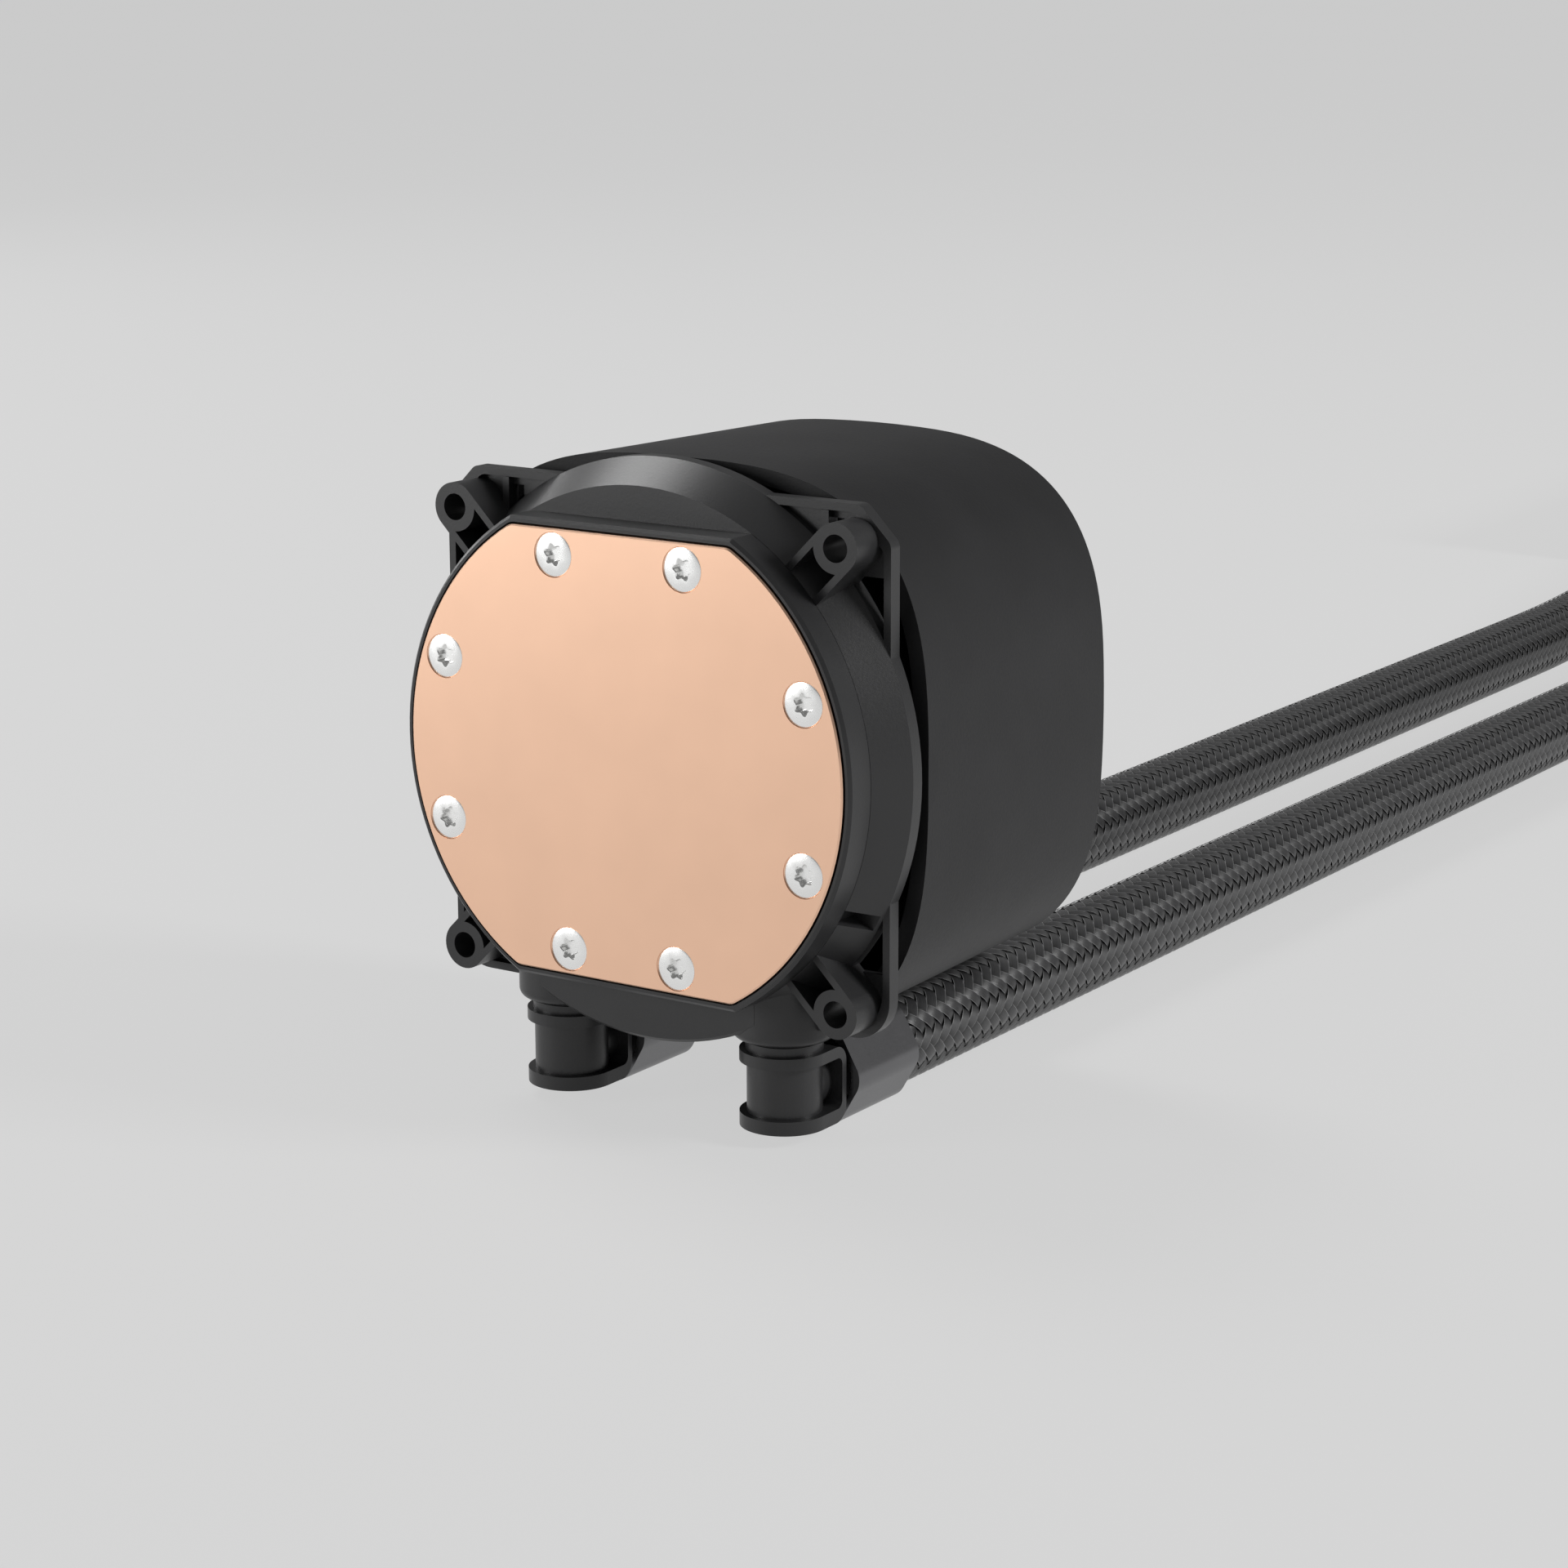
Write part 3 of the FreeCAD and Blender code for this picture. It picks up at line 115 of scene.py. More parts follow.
class Shader:
    """A material under construction, with short calls for the nodes it needs."""

    def __init__(self, name: str) -> None:
        """Start a material that holds one Principled shader.

        Args:
            name: The material's name.
        """
        self.material = bpy.data.materials.new(name)
        self.material.use_nodes = True
        self.nodes = self.material.node_tree.nodes
        self.links = self.material.node_tree.links
        self.nodes.clear()
        self.surface = self.nodes.new("ShaderNodeBsdfPrincipled")
        self.output = self.nodes.new("ShaderNodeOutputMaterial")
        self.links.new(self.surface.outputs["BSDF"], self.output.inputs["Surface"])

    def set(self, socket: str, value: float | tuple[float, ...]) -> None:
        """Give one of the shader's sockets a plain value."""
        self.surface.inputs[socket].default_value = value

    def place(self, source: str = "Object") -> bpy.types.NodeSocket:
        """Return texture coordinates, from the object or its UV map."""
        return self.nodes.new("ShaderNodeTexCoord").outputs[source]

    def stretched(
        self, vector: bpy.types.NodeSocket, scale: tuple[float, float, float]
    ) -> bpy.types.NodeSocket:
        """Scale coordinates by a different number along each axis.

        Args:
            vector: The coordinates to scale.
            scale: The three factors.

        Returns:
            The scaled coordinates.
        """
        mapping = self.nodes.new("ShaderNodeMapping")
        mapping.inputs["Scale"].default_value = scale
        self.links.new(vector, mapping.inputs["Vector"])
        return mapping.outputs["Vector"]

    def noise(
        self,
        vector: bpy.types.NodeSocket,
        size: float,
        detail: float = 3.0,
        roughness: float = 0.55,
    ) -> bpy.types.NodeSocket:
        """Make a noise whose features are about one size.

        Args:
            vector: The coordinates that the noise reads.
            size: The size of a feature, in the coordinates' unit.
            detail: How many finer layers are added.
            roughness: How strong the finer layers are.

        Returns:
            The noise, from 0 to 1.
        """
        node = self.nodes.new("ShaderNodeTexNoise")
        node.inputs["Scale"].default_value = 1.0 / size
        node.inputs["Detail"].default_value = detail
        node.inputs["Roughness"].default_value = roughness
        self.links.new(vector, node.inputs["Vector"])
        return node.outputs["Fac"]

    def waves(
        self, vector: bpy.types.NodeSocket, period: float, axis: str, warp: float = 0.0
    ) -> bpy.types.NodeSocket:
        """Make straight ridges across one axis.

        Args:
            vector: The coordinates that the ridges read.
            period: The distance from ridge to ridge.
            axis: The axis that crosses the ridges: X, Y, Z or DIAGONAL.
            warp: How much the ridges wander.

        Returns:
            The ridges' height, from 0 to 1.
        """
        node = self.nodes.new("ShaderNodeTexWave")
        node.bands_direction = axis
        node.inputs["Scale"].default_value = math.pi / 10.0 / period
        node.inputs["Distortion"].default_value = warp
        self.links.new(vector, node.inputs["Vector"])
        return node.outputs["Fac"]

    def ramp(
        self, value: bpy.types.NodeSocket, low: float, high: float
    ) -> bpy.types.NodeSocket:
        """Spread a value over another range.

        Args:
            value: The value, from 0 to 1.
            low: What 0 becomes.
            high: What 1 becomes.

        Returns:
            The value in its new range.
        """
        node = self.nodes.new("ShaderNodeMapRange")
        node.inputs["To Min"].default_value = low
        node.inputs["To Max"].default_value = high
        self.links.new(value, node.inputs["Value"])
        return node.outputs["Result"]

    def mixed(
        self,
        share: bpy.types.NodeSocket,
        low: tuple[float, float, float],
        high: tuple[float, float, float],
        start: float = 0.3,
        end: float = 0.7,
    ) -> bpy.types.NodeSocket:
        """Blend two colours by a value.

        Args:
            share: The value, from 0 to 1.
            low: The colour at the start value and below.
            high: The colour at the end value and above.
            start: The value at which the blend starts.
            end: The value at which it ends.

        Returns:
            The blended colour.
        """
        node = self.nodes.new("ShaderNodeValToRGB")
        node.color_ramp.elements[0].position = start
        node.color_ramp.elements[0].color = (*low, 1.0)
        node.color_ramp.elements[1].position = end
        node.color_ramp.elements[1].color = (*high, 1.0)
        self.links.new(share, node.inputs["Fac"])
        return node.outputs["Color"]

    def border(
        self, vector: bpy.types.NodeSocket, start: float, end: float
    ) -> bpy.types.NodeSocket:
        """Find the two edges of a yarn, whose width runs from one half to the next.

        Args:
            vector: The yarn's UV coordinates, a whole number along its middle.
            start: How far from the middle an edge starts, where 0.5 is the yarn's side.
            end: How far from the middle the edge is full.

        Returns:
            1 at the yarn's edges and 0 away from them.
        """
        split = self.nodes.new("ShaderNodeSeparateXYZ")
        self.links.new(vector, split.inputs["Vector"])
        wave = self.nodes.new("ShaderNodeMath")
        wave.operation = "PINGPONG"
        wave.inputs[1].default_value = 0.5
        self.links.new(split.outputs["X"], wave.inputs[0])
        edge = self.nodes.new("ShaderNodeMapRange")
        edge.inputs["From Min"].default_value = start
        edge.inputs["From Max"].default_value = end
        self.links.new(wave.outputs["Value"], edge.inputs["Value"])
        return edge.outputs["Result"]

    def blended(
        self,
        share: bpy.types.NodeSocket,
        under: bpy.types.NodeSocket,
        over: tuple[float, float, float],
    ) -> bpy.types.NodeSocket:
        """Lay a plain colour over a pattern.

        Args:
            share: How much of the colour shows, from 0 to 1.
            under: The pattern.
            over: The colour.

        Returns:
            The blended colour.
        """
        node = self.nodes.new("ShaderNodeMix")
        node.data_type = "RGBA"
        self.links.new(share, node.inputs[0])
        self.links.new(under, node.inputs[6])
        node.inputs[7].default_value = (*over, 1.0)
        return node.outputs[2]

    def painted(self, name: str) -> bpy.types.NodeSocket:
        """Read a number that the mesh keeps for each of its points.

        Args:
            name: The attribute's name.

        Returns:
            The number.
        """
        node = self.nodes.new("ShaderNodeAttribute")
        node.attribute_name = name
        return node.outputs["Fac"]

    def follow(self, uv_map: str) -> None:
        """Let the gloss run along the yarns instead of round the object.

        Args:
            uv_map: The UV map that follows the yarns.
        """
        node = self.nodes.new("ShaderNodeTangent")
        node.direction_type = "UV_MAP"
        node.uv_map = uv_map
        self.feed("Tangent", node.outputs["Tangent"])

    def darkened(
        self,
        colour: bpy.types.NodeSocket,
        share: bpy.types.NodeSocket,
        low: float,
        start: float,
        end: float,
    ) -> bpy.types.NodeSocket:
        """Darken a colour where a value is small.

        Args:
            colour: The colour.
            share: The value, from 0 to 1.
            low: What is left of the colour at the start value and below.
            start: The value at which the colour starts to come back.
            end: The value from which the colour is whole.

        Returns:
            The darkened colour.
        """
        node = self.nodes.new("ShaderNodeMix")
        node.data_type = "RGBA"
        node.blend_type = "MULTIPLY"
        node.inputs[0].default_value = 1.0
        self.links.new(colour, node.inputs[6])
        fade = self.nodes.new("ShaderNodeMapRange")
        fade.interpolation_type = "SMOOTHSTEP"
        fade.inputs["From Min"].default_value = start
        fade.inputs["From Max"].default_value = end
        fade.inputs["To Min"].default_value = low
        self.links.new(share, fade.inputs["Value"])
        self.links.new(fade.outputs["Result"], node.inputs[7])
        return node.outputs[2]

    def show_pale(self, brightness: float, share: float) -> None:
        """Make the surface look pale to the camera, in gloss and through glass.

        Args:
            brightness: The brightness that is mixed in, where 1 is white.
            share: How much of it is mixed in, so that shadows still show.
        """
        rays = self.nodes.new("ShaderNodeLightPath")
        seen = rays.outputs["Is Camera Ray"]
        for name in ("Is Glossy Ray", "Is Transmission Ray"):
            either = self.nodes.new("ShaderNodeMath")
            either.operation = "MAXIMUM"
            self.links.new(seen, either.inputs[0])
            self.links.new(rays.outputs[name], either.inputs[1])
            seen = either.outputs["Value"]
        part = self.nodes.new("ShaderNodeMath")
        part.operation = "MULTIPLY"
        part.inputs[1].default_value = share
        self.links.new(seen, part.inputs[0])
        glow = self.nodes.new("ShaderNodeEmission")
        glow.inputs["Color"].default_value = (brightness, brightness, brightness, 1.0)
        glow.inputs["Strength"].default_value = 1.0
        blend = self.nodes.new("ShaderNodeMixShader")
        self.links.new(part.outputs["Value"], blend.inputs[0])
        self.links.new(self.surface.outputs["BSDF"], blend.inputs[1])
        self.links.new(glow.outputs["Emission"], blend.inputs[2])
        self.links.new(blend.outputs["Shader"], self.output.inputs["Surface"])

    def feed(self, socket: str, value: bpy.types.NodeSocket) -> None:
        """Link a value to one of the shader's sockets."""
        self.links.new(value, self.surface.inputs[socket])

    def relief(self, height: bpy.types.NodeSocket, depth: float) -> None:
        """Bump the surface by a height.

        Args:
            height: The height, from 0 to 1.
            depth: The real depth of a full step, in metres.
        """
        node = self.nodes.new("ShaderNodeBump")
        node.inputs["Strength"].default_value = 1.0
        node.inputs["Distance"].default_value = depth
        self.links.new(height, node.inputs["Height"])
        self.feed("Normal", node.outputs["Normal"])


def shade(colour: tuple[float, float, float], factor: float) -> tuple[float, float, float]:
    """Return a colour made lighter or darker by a factor."""
    return (colour[0] * factor, colour[1] * factor, colour[2] * factor)


@dataclass(frozen=True)
class MouldedPlastic:
    """Moulded plastic with the fine spark grain of its tool."""

    name: str
    colour: tuple[float, float, float]
    roughness: float = 0.46
    grain: float = 0.00035
    depth: float = 0.000012
    cloud: float = 0.12
    gloss: float = 0.42
    cloud_size: float = 0.014
    smoother: float = 0.05
    rougher: float = 0.06

    def build(self) -> bpy.types.Material:
        """Build the material.

        Returns:
            The finished material.
        """
        shader = Shader(self.name)
        place = shader.place()
        cloud = shader.noise(place, self.cloud_size, detail=2.0)
        grain = shader.noise(place, self.grain, detail=2.0, roughness=0.7)
        low = shade(self.colour, 1 - self.cloud)
        high = shade(self.colour, 1 + self.cloud)
        shader.feed("Base Color", shader.mixed(cloud, low, high))
        low_gloss = self.roughness + self.rougher
        high_gloss = self.roughness - self.smoother
        shader.feed("Roughness", shader.ramp(grain, high_gloss, low_gloss))
        shader.set("Specular IOR Level", self.gloss)
        shader.relief(grain, self.depth)
        return shader.material


@dataclass(frozen=True)
class SatinMetal:
    """Metal with a fine, even satin face."""

    name: str
    colour: tuple[float, float, float]
    roughness: float = 0.3
    grain: float = 0.0002
    depth: float = 0.000003
    tint: float = 0.04
    cloud_size: float = 0.011
    smoother: float = 0.05
    rougher: float = 0.06

    def build(self) -> bpy.types.Material:
        """Build the material.

        Returns:
            The finished material.
        """
        shader = Shader(self.name)
        place = shader.place()
        grain = shader.noise(place, self.grain, detail=3.0, roughness=0.6)
        cloud = shader.noise(place, self.cloud_size, detail=2.0)
        low = shade(self.colour, 1 - self.tint)
        high = shade(self.colour, 1 + self.tint)
        shader.feed("Base Color", shader.mixed(cloud, low, high))
        low_gloss = self.roughness + self.rougher
        high_gloss = self.roughness - self.smoother
        shader.feed("Roughness", shader.ramp(grain, high_gloss, low_gloss))
        shader.set("Metallic", 1.0)
        shader.relief(grain, self.depth)
        return shader.material


@dataclass(frozen=True)
class PowderPaint:
    """Thick black powder paint with an even orange peel."""

    name: str
    colour: tuple[float, float, float]
    roughness: float = 0.5
    peel: float = 0.0009
    depth: float = 0.00004
    tint: float = 0.15
    spread: float = 0.08

    def build(self) -> bpy.types.Material:
        """Build the material.

        Returns:
            The finished material.
        """
        shader = Shader(self.name)
        place = shader.place()
        peel = shader.noise(place, self.peel, detail=3.0, roughness=0.6)
        low = shade(self.colour, 1 - self.tint)
        high = shade(self.colour, 1 + self.tint)
        shader.feed("Base Color", shader.mixed(peel, low, high))
        low_gloss = self.roughness + self.spread
        high_gloss = self.roughness - self.spread
        shader.feed("Roughness", shader.ramp(peel, high_gloss, low_gloss))
        shader.relief(peel, self.depth)
        return shader.material


@dataclass(frozen=True)
class MouldedRubber:
    """Dull black rubber of the seals and the inner hose."""

    name: str
    colour: tuple[float, float, float] = (0.012, 0.012, 0.013)
    roughness: float = 0.62
    grain: float = 0.0005
    depth: float = 0.00001
    darkest: float = 0.8
    palest: float = 1.3
    smoother: float = 0.08
    rougher: float = 0.1

    def build(self) -> bpy.types.Material:
        """Build the material.

        Returns:
            The finished material.
        """
        shader = Shader(self.name)
        grain = shader.noise(shader.place(), self.grain, detail=4.0, roughness=0.7)
        low = shade(self.colour, self.darkest)
        high = shade(self.colour, self.palest)
        shader.feed("Base Color", shader.mixed(grain, low, high))
        low_gloss = self.roughness + self.rougher
        high_gloss = self.roughness - self.smoother
        shader.feed("Roughness", shader.ramp(grain, high_gloss, low_gloss))
        shader.relief(grain, self.depth)
        return shader.material


@dataclass(frozen=True)
class FlatYarn:
    """Dark flat yarn of the braid: filaments side by side, glossy, with a painted highlight along its edges
    and painted shade where it dips under the other hand.
    """

    name: str
    colour: tuple[float, float, float] = (0.036, 0.036, 0.037)
    # edge is the colour of a painted highlight along each yarn's sides.
    edge: tuple[float, float, float] = (0.24, 0.24, 0.243)
    filament_scale: tuple[float, float, float] = (14.0, 0.3, 1.0)
    tone_scale: tuple[float, float, float] = (0.6, 0.12, 1.0)
    darkest: float = 0.7
    palest: float = 1.3
    depth: float = 0.00003
    smoothest: float = 0.32
    roughest: float = 0.44
    highlight_start: float = 0.43
    highlight_end: float = 0.49
    # Painted shade where a yarn dips under the other hand: what is left of the colour, and where it comes
    # back.
    dip_shade: float = 0.04
    dip_start: float = 0.4
    dip_end: float = 0.95

    def build(self) -> bpy.types.Material:
        """Build the material, which reads the yarns' own UV map.

        Returns:
            The finished material.
        """
        shader = Shader(self.name)
        along = shader.place("UV")
        threads = shader.stretched(along, self.filament_scale)
        hairs = shader.noise(threads, 1.0, detail=2.0, roughness=0.5)
        tone = shader.noise(shader.stretched(along, self.tone_scale), 1.0, detail=2.0)
        low = shade(self.colour, self.darkest)
        high = shade(self.colour, self.palest)
        strands = shader.mixed(hairs, low, high)
        # Painted highlight: the yarn's sides are made paler, as if catching the light.
        border = shader.border(along, self.highlight_start, self.highlight_end)
        with_painted_highlight = shader.blended(border, strands, self.edge)
        # Painted shade: the colour darkens by the yarn's lift, where it dips under the other hand.
        lift = shader.painted("lift")
        with_painted_dip_shade = shader.darkened(with_painted_highlight, lift, self.dip_shade, self.dip_start, self.dip_end)
        shader.feed("Base Color", with_painted_dip_shade)
        shader.feed("Roughness", shader.ramp(tone, self.smoothest, self.roughest))
        shader.set("Specular IOR Level", 0.7)
        shader.set("Anisotropic", 0.8)
        shader.set("Sheen Weight", 0.08)
        shader.set("Sheen Roughness", 0.4)
        shader.follow("yarn")
        shader.relief(hairs, self.depth)
        return shader.material


@dataclass(frozen=True)
class LayeredSteel:
    """The edge of a stack of thin steel sheets, seen across the pump axis."""

    name: str
    colour: tuple[float, float, float]
    sheet: float = 0.0005
    depth: float = 0.00005
    groove: float = 0.55

    def build(self) -> bpy.types.Material:
        """Build the material.

        Returns:
            The finished material.
        """
        shader = Shader(self.name)
        place = shader.place()
        sheets = shader.waves(place, self.sheet, "Y")
        groove = shade(self.colour, self.groove)
        shader.feed("Base Color", shader.mixed(sheets, groove, self.colour))
        shader.feed("Roughness", shader.ramp(sheets, low=0.55, high=0.38))
        shader.set("Metallic", 1.0)
        shader.relief(sheets, self.depth)
        return shader.material


@dataclass(frozen=True)
class WoundWire:
    """Enamelled copper wire, laid turn by turn."""

    name: str
    colour: tuple[float, float, float]
    wire: float = 0.0004
    depth: float = 0.0001
    groove: float = 0.35
    wander: float = 0.4

    def build(self) -> bpy.types.Material:
        """Build the material.

        Returns:
            The finished material.
        """
        shader = Shader(self.name)
        place = shader.place()
        turns = shader.waves(place, self.wire, "DIAGONAL", self.wander)
        groove = shade(self.colour, self.groove)
        shader.feed("Base Color", shader.mixed(turns, groove, self.colour))
        shader.feed("Roughness", shader.ramp(turns, low=0.5, high=0.25))
        shader.set("Metallic", 0.9)
        shader.relief(turns, self.depth)
        return shader.material


@dataclass(frozen=True)
class SolderMask:
    """Circuit board under a coloured lacquer, with tracks just showing."""

    name: str
    colour: tuple[float, float, float]
    track: float = 0.0011
    depth: float = 0.00002
    wander: float = 6.0
    bright: float = 1.7

    def build(self) -> bpy.types.Material:
        """Build the material.

        Returns:
            The finished material.
        """
        shader = Shader(self.name)
        place = shader.place()
        tracks = shader.waves(place, self.track, "X", self.wander)
        bright = shade(self.colour, self.bright)
        lacquer = shader.mixed(tracks, self.colour, bright, start=0.6, end=0.7)
        shader.feed("Base Color", lacquer)
        shader.feed("Roughness", shader.ramp(tracks, low=0.36, high=0.28))
        shader.set("Coat Weight", 0.3)
        shader.relief(tracks, self.depth)
        return shader.material


FINISHES = {
    "copper": SatinMetal("copper_satin", (0.93, 0.60, 0.425), 0.3, 0.00016, 0.0000012, tint=0.02),
    "bright_steel": SatinMetal("bright_steel", (0.95, 0.95, 0.94), 0.26, 0.0003, 0.0000015),
    "spring_steel": SatinMetal("spring_steel", (0.46, 0.46, 0.47), 0.3, 0.0004),
    "seal_rubber": MouldedRubber("seal_rubber"),
    "frame_plastic": MouldedPlastic("frame_plastic", (0.028, 0.028, 0.029), 0.36, gloss=0.5),
    "cover_plastic": MouldedPlastic(
        "cover_plastic", (0.022, 0.022, 0.023), 0.5, 0.0004, 0.00002, gloss=0.28
    ),
    "fitting_plastic": MouldedPlastic("fitting_plastic", (0.026, 0.026, 0.027), 0.34, gloss=0.5),
    "inner_plastic": MouldedPlastic("inner_plastic", (0.05, 0.05, 0.052), 0.4),
    "impeller_plastic": MouldedPlastic("impeller_plastic", (0.55, 0.55, 0.53), 0.4),
    "ferrite": MouldedPlastic("ferrite", (0.045, 0.045, 0.05), 0.55, 0.0003, 0.00003),
    "carbon": MouldedPlastic("carbon_bush", (0.03, 0.03, 0.032), 0.35),
    "ceramic": MouldedPlastic("ceramic", (0.72, 0.71, 0.68), 0.2, 0.0003, 0.000003, 0.03),
    "laminations": LayeredSteel("laminations", (0.42, 0.42, 0.44)),
    "winding_copper": WoundWire("winding_copper", (0.72, 0.27, 0.1)),
    "board": SolderMask("board_lacquer", (0.008, 0.045, 0.02)),
    "chip_plastic": MouldedPlastic("chip_plastic", (0.02, 0.02, 0.022), 0.5),
    "capacitor_can": SatinMetal("capacitor_can", (0.62, 0.63, 0.65), 0.3),
    "socket_plastic": MouldedPlastic("socket_plastic", (0.62, 0.6, 0.54), 0.4),
    "collar_metal": SatinMetal("collar_metal", (0.18, 0.18, 0.185), 0.34, 0.0003, 0.000004),
    "hose_braid": FlatYarn("hose_yarn"),
    "radiator_metal": PowderPaint("radiator_paint", (0.022, 0.022, 0.023)),
    "fin_metal": PowderPaint("fin_paint", (0.03, 0.03, 0.032), 0.42, 0.0005, 0.00001),
    "plug_metal": SatinMetal("plug_metal", (0.12, 0.12, 0.125), 0.35),
}


class Palette:
    """The finishes of the cooler by material slot, each built once."""

    def __init__(self) -> None:
        """Build every finish."""
        self.materials = {slot: finish.build() for slot, finish in FINISHES.items()}

    def __getitem__(self, slot: str) -> bpy.types.Material:
        """Return the material of a slot."""
        return self.materials[slot]

    def dress_nodes(self, frame: dict) -> None:
        """Give every solid of the frame the finish of its slot.
        """
        for part in frame["record"]["subparts"]:
            node = frame["nodes"][part["node"]]
            node.data.materials.clear()
            node.data.materials.append(self[part["material_slot"]])
            log.info("%s: %s", part["node"], part["material_slot"])


# Pieces


class Piece:
    """A mesh under construction that becomes one object of the scene."""

    def __init__(self, name: str) -> None:
        """Start an empty mesh.

        Args:
            name: The object's name.
        """
        self.name = name
        self.mesh = bmesh.new()

    def finish(
        self, materials: list[bpy.types.Material], smooth_angle: float = 35.0
    ) -> bpy.types.Object:
        """Make the object of the mesh and link it to the scene.

        Args:
            materials: The finishes, in the order of the faces' indices.
            smooth_angle: Edges sharper than this, in degrees, stay sharp.

        Returns:
            The new object.
        """
        for edge in self.mesh.edges:
            sharp = len(edge.link_faces) == 2 and edge.calc_face_angle() > math.radians(
                smooth_angle
            )
            edge.smooth = not sharp
        for face in self.mesh.faces:
            face.smooth = True
        data = bpy.data.meshes.new(self.name)
        self.mesh.to_mesh(data)
        self.mesh.free()
        for material in materials:
            data.materials.append(material)
        item = bpy.data.objects.new(self.name, data)
        bpy.context.scene.collection.objects.link(item)
        return item


@dataclass
class BraidedHose:
    """A rubber hose under a tight braid of flat yarns, from a fitting to the radiator."""

    side: Side
    route: tuple[tuple[float, float, float], ...] = (
        (16.57, 18.57, -41.2),
        (16.57, 287.4, -40.1),
        (16.57, 350.0, -39.8),
        (21.0, 412.0, -34.25),
        (21.0, 450.2, -34.25),
    )
    length: float = 0.4341
    radius: float = 6.22 * MM
    core_radius: float = 5.35 * MM
    bore_radius: float = 3.75 * MM
    grip_radius: float = 5.5 * MM
    wave: float = 0.24 * MM
    crown: float = 0.06 * MM
    grip_ends: tuple[float, float] = (31.97 * MM, 436.8 * MM)
    carriers: int = 16
    lay: float = 37.0 * MM
    start: float = 0.1
    yarn_width: float = 1.66 * MM
    yarn_step: float = 0.62 * MM
    yarn_shares: tuple[float, ...] = (-1.0, -0.5, 0.5, 1.0)
    plateau: float = 1.15
    grip_cover: float = 0.2 * MM
    rise: float = 1.1 * MM
    core_step: float = 3.0 * MM
    core_sides: int = 32
    smoothing: float = 60.0
    line: list[Vector] = field(default_factory=list)

    def read_line(self) -> None:
        """Read the hose's middle line from the smooth curve of its route."""
        curve = bpy.data.curves.new("hose_line", "CURVE")
        curve.dimensions = "3D"
        spline = curve.splines.new("NURBS")
        spline.points.add(len(self.route) - 1)
        for point, (x, y, z) in zip(spline.points, self.route):
            point.co = (self.side.value * x * MM, y * MM, z * MM, 1.0)
        spline.order_u = 3
        spline.use_endpoint_u = True
        spline.resolution_u = 60
        helper = bpy.data.objects.new("hose_line", curve)
        mesh = bpy.data.meshes.new_from_object(helper)
        self.line = [vertex.co.copy() for vertex in mesh.vertices]
        bpy.data.objects.remove(helper)
        bpy.data.curves.remove(curve)
        bpy.data.meshes.remove(mesh)

    def stations(self, step: float) -> list[tuple[float, Vector, Vector, Vector]]:
        """Space out the middle line evenly.

        Args:
            step: The distance between two stations.

        Returns:
            For each station its distance along the hose, its place, and the directions
            to its side and upwards.
        """
        reach = [0.0]
        for one, two in zip(self.line, self.line[1:]):
            reach.append(reach[-1] + (two - one).length)
        count = round(reach[-1] / step)
        found = []
        index = 0
        for number in range(count + 1):
            distance = reach[-1] * number / count
            while index < len(reach) - 2 and reach[index + 1] < distance:
                index += 1
            share = (distance - reach[index]) / (reach[index + 1] - reach[index])
            run = self.line[index + 1] - self.line[index]
            place = self.line[index] + run * share
            before = self.line[max(index - 1, 0)]
            after = self.line[min(index + 2, len(self.line) - 1)]
            ahead = (after - before).normalized()
            across = ahead.cross(Vector((0, 0, 1))).normalized()
            found.append((distance, place, across, across.cross(ahead)))
        return found

    def swell(self, y: float) -> float:
        """Work out how far the braid has swelled from its grips to its full width.

        Args:
            y: The place along the hose's run.

        Returns:
            0 inside the grips, 1 along the free hose.
        """
        inside = min(y - self.grip_ends[0], self.grip_ends[1] - y) + self.grip_cover
        share = min(max(inside / self.rise, 0.0), 1.0)
        return share * share * (3 - 2 * share)

    def tube(self, radius: float) -> list[list[Vector]]:
        """Set rings of points round the middle line.

        Args:
            radius: The radius of the rings.

        Returns:
            The rings, from the fitting to the radiator.
        """
        rings = []
        for _, place, across, up in self.stations(self.core_step):
            ring = []
            for number in range(self.core_sides):
                turn = 2 * math.pi * number / self.core_sides
                radial = across * math.cos(turn) + up * math.sin(turn)
                ring.append(place + radial * radius)
            rings.append(ring)
        return rings

    def add_core(self, piece: Piece) -> None:
        """Add the rubber hose below the braid, open at both ends.

        Args:
            piece: The piece that takes the hose.
        """
        outer = self.tube(self.core_radius)
        inner = self.tube(self.bore_radius)
        self.skin(piece, outer, True)
        self.skin(piece, inner, False)
        self.skin(piece, [outer[0], inner[0]], False)
        self.skin(piece, [outer[-1], inner[-1]], True)

    def skin(self, piece: Piece, rings: list[list[Vector]], outwards: bool) -> None:
        """Join rings of points by faces.

        Args:
            piece: The piece that takes the faces.
            rings: The rings, all with as many points.
            outwards: True if the faces look away from the rings' middle.
        """
        rubber = 1
        corners = [[piece.mesh.verts.new(point) for point in ring] for ring in rings]
        for first, second in zip(corners, corners[1:]):
            for step in range(len(first)):
                following = (step + 1) % len(first)
                quad = [first[step], second[step], second[following], first[following]]
                face = piece.mesh.faces.new(quad if outwards else quad[::-1])
                face.material_index = rubber

    def add_yarns(self, piece: Piece) -> None:
        """Add the flat yarns, which pass over two and under two of the other hand.

        Args:
            piece: The piece that takes the yarns.
        """
        uv_layer = piece.mesh.loops.layers.uv.new("yarn")
        piece.mesh.verts.layers.float.new("lift")
        stations = self.stations(self.yarn_step)
        for turn in Turn:
            for number in range(self.carriers):
                self.add_yarn(piece, uv_layer, stations, turn, number)

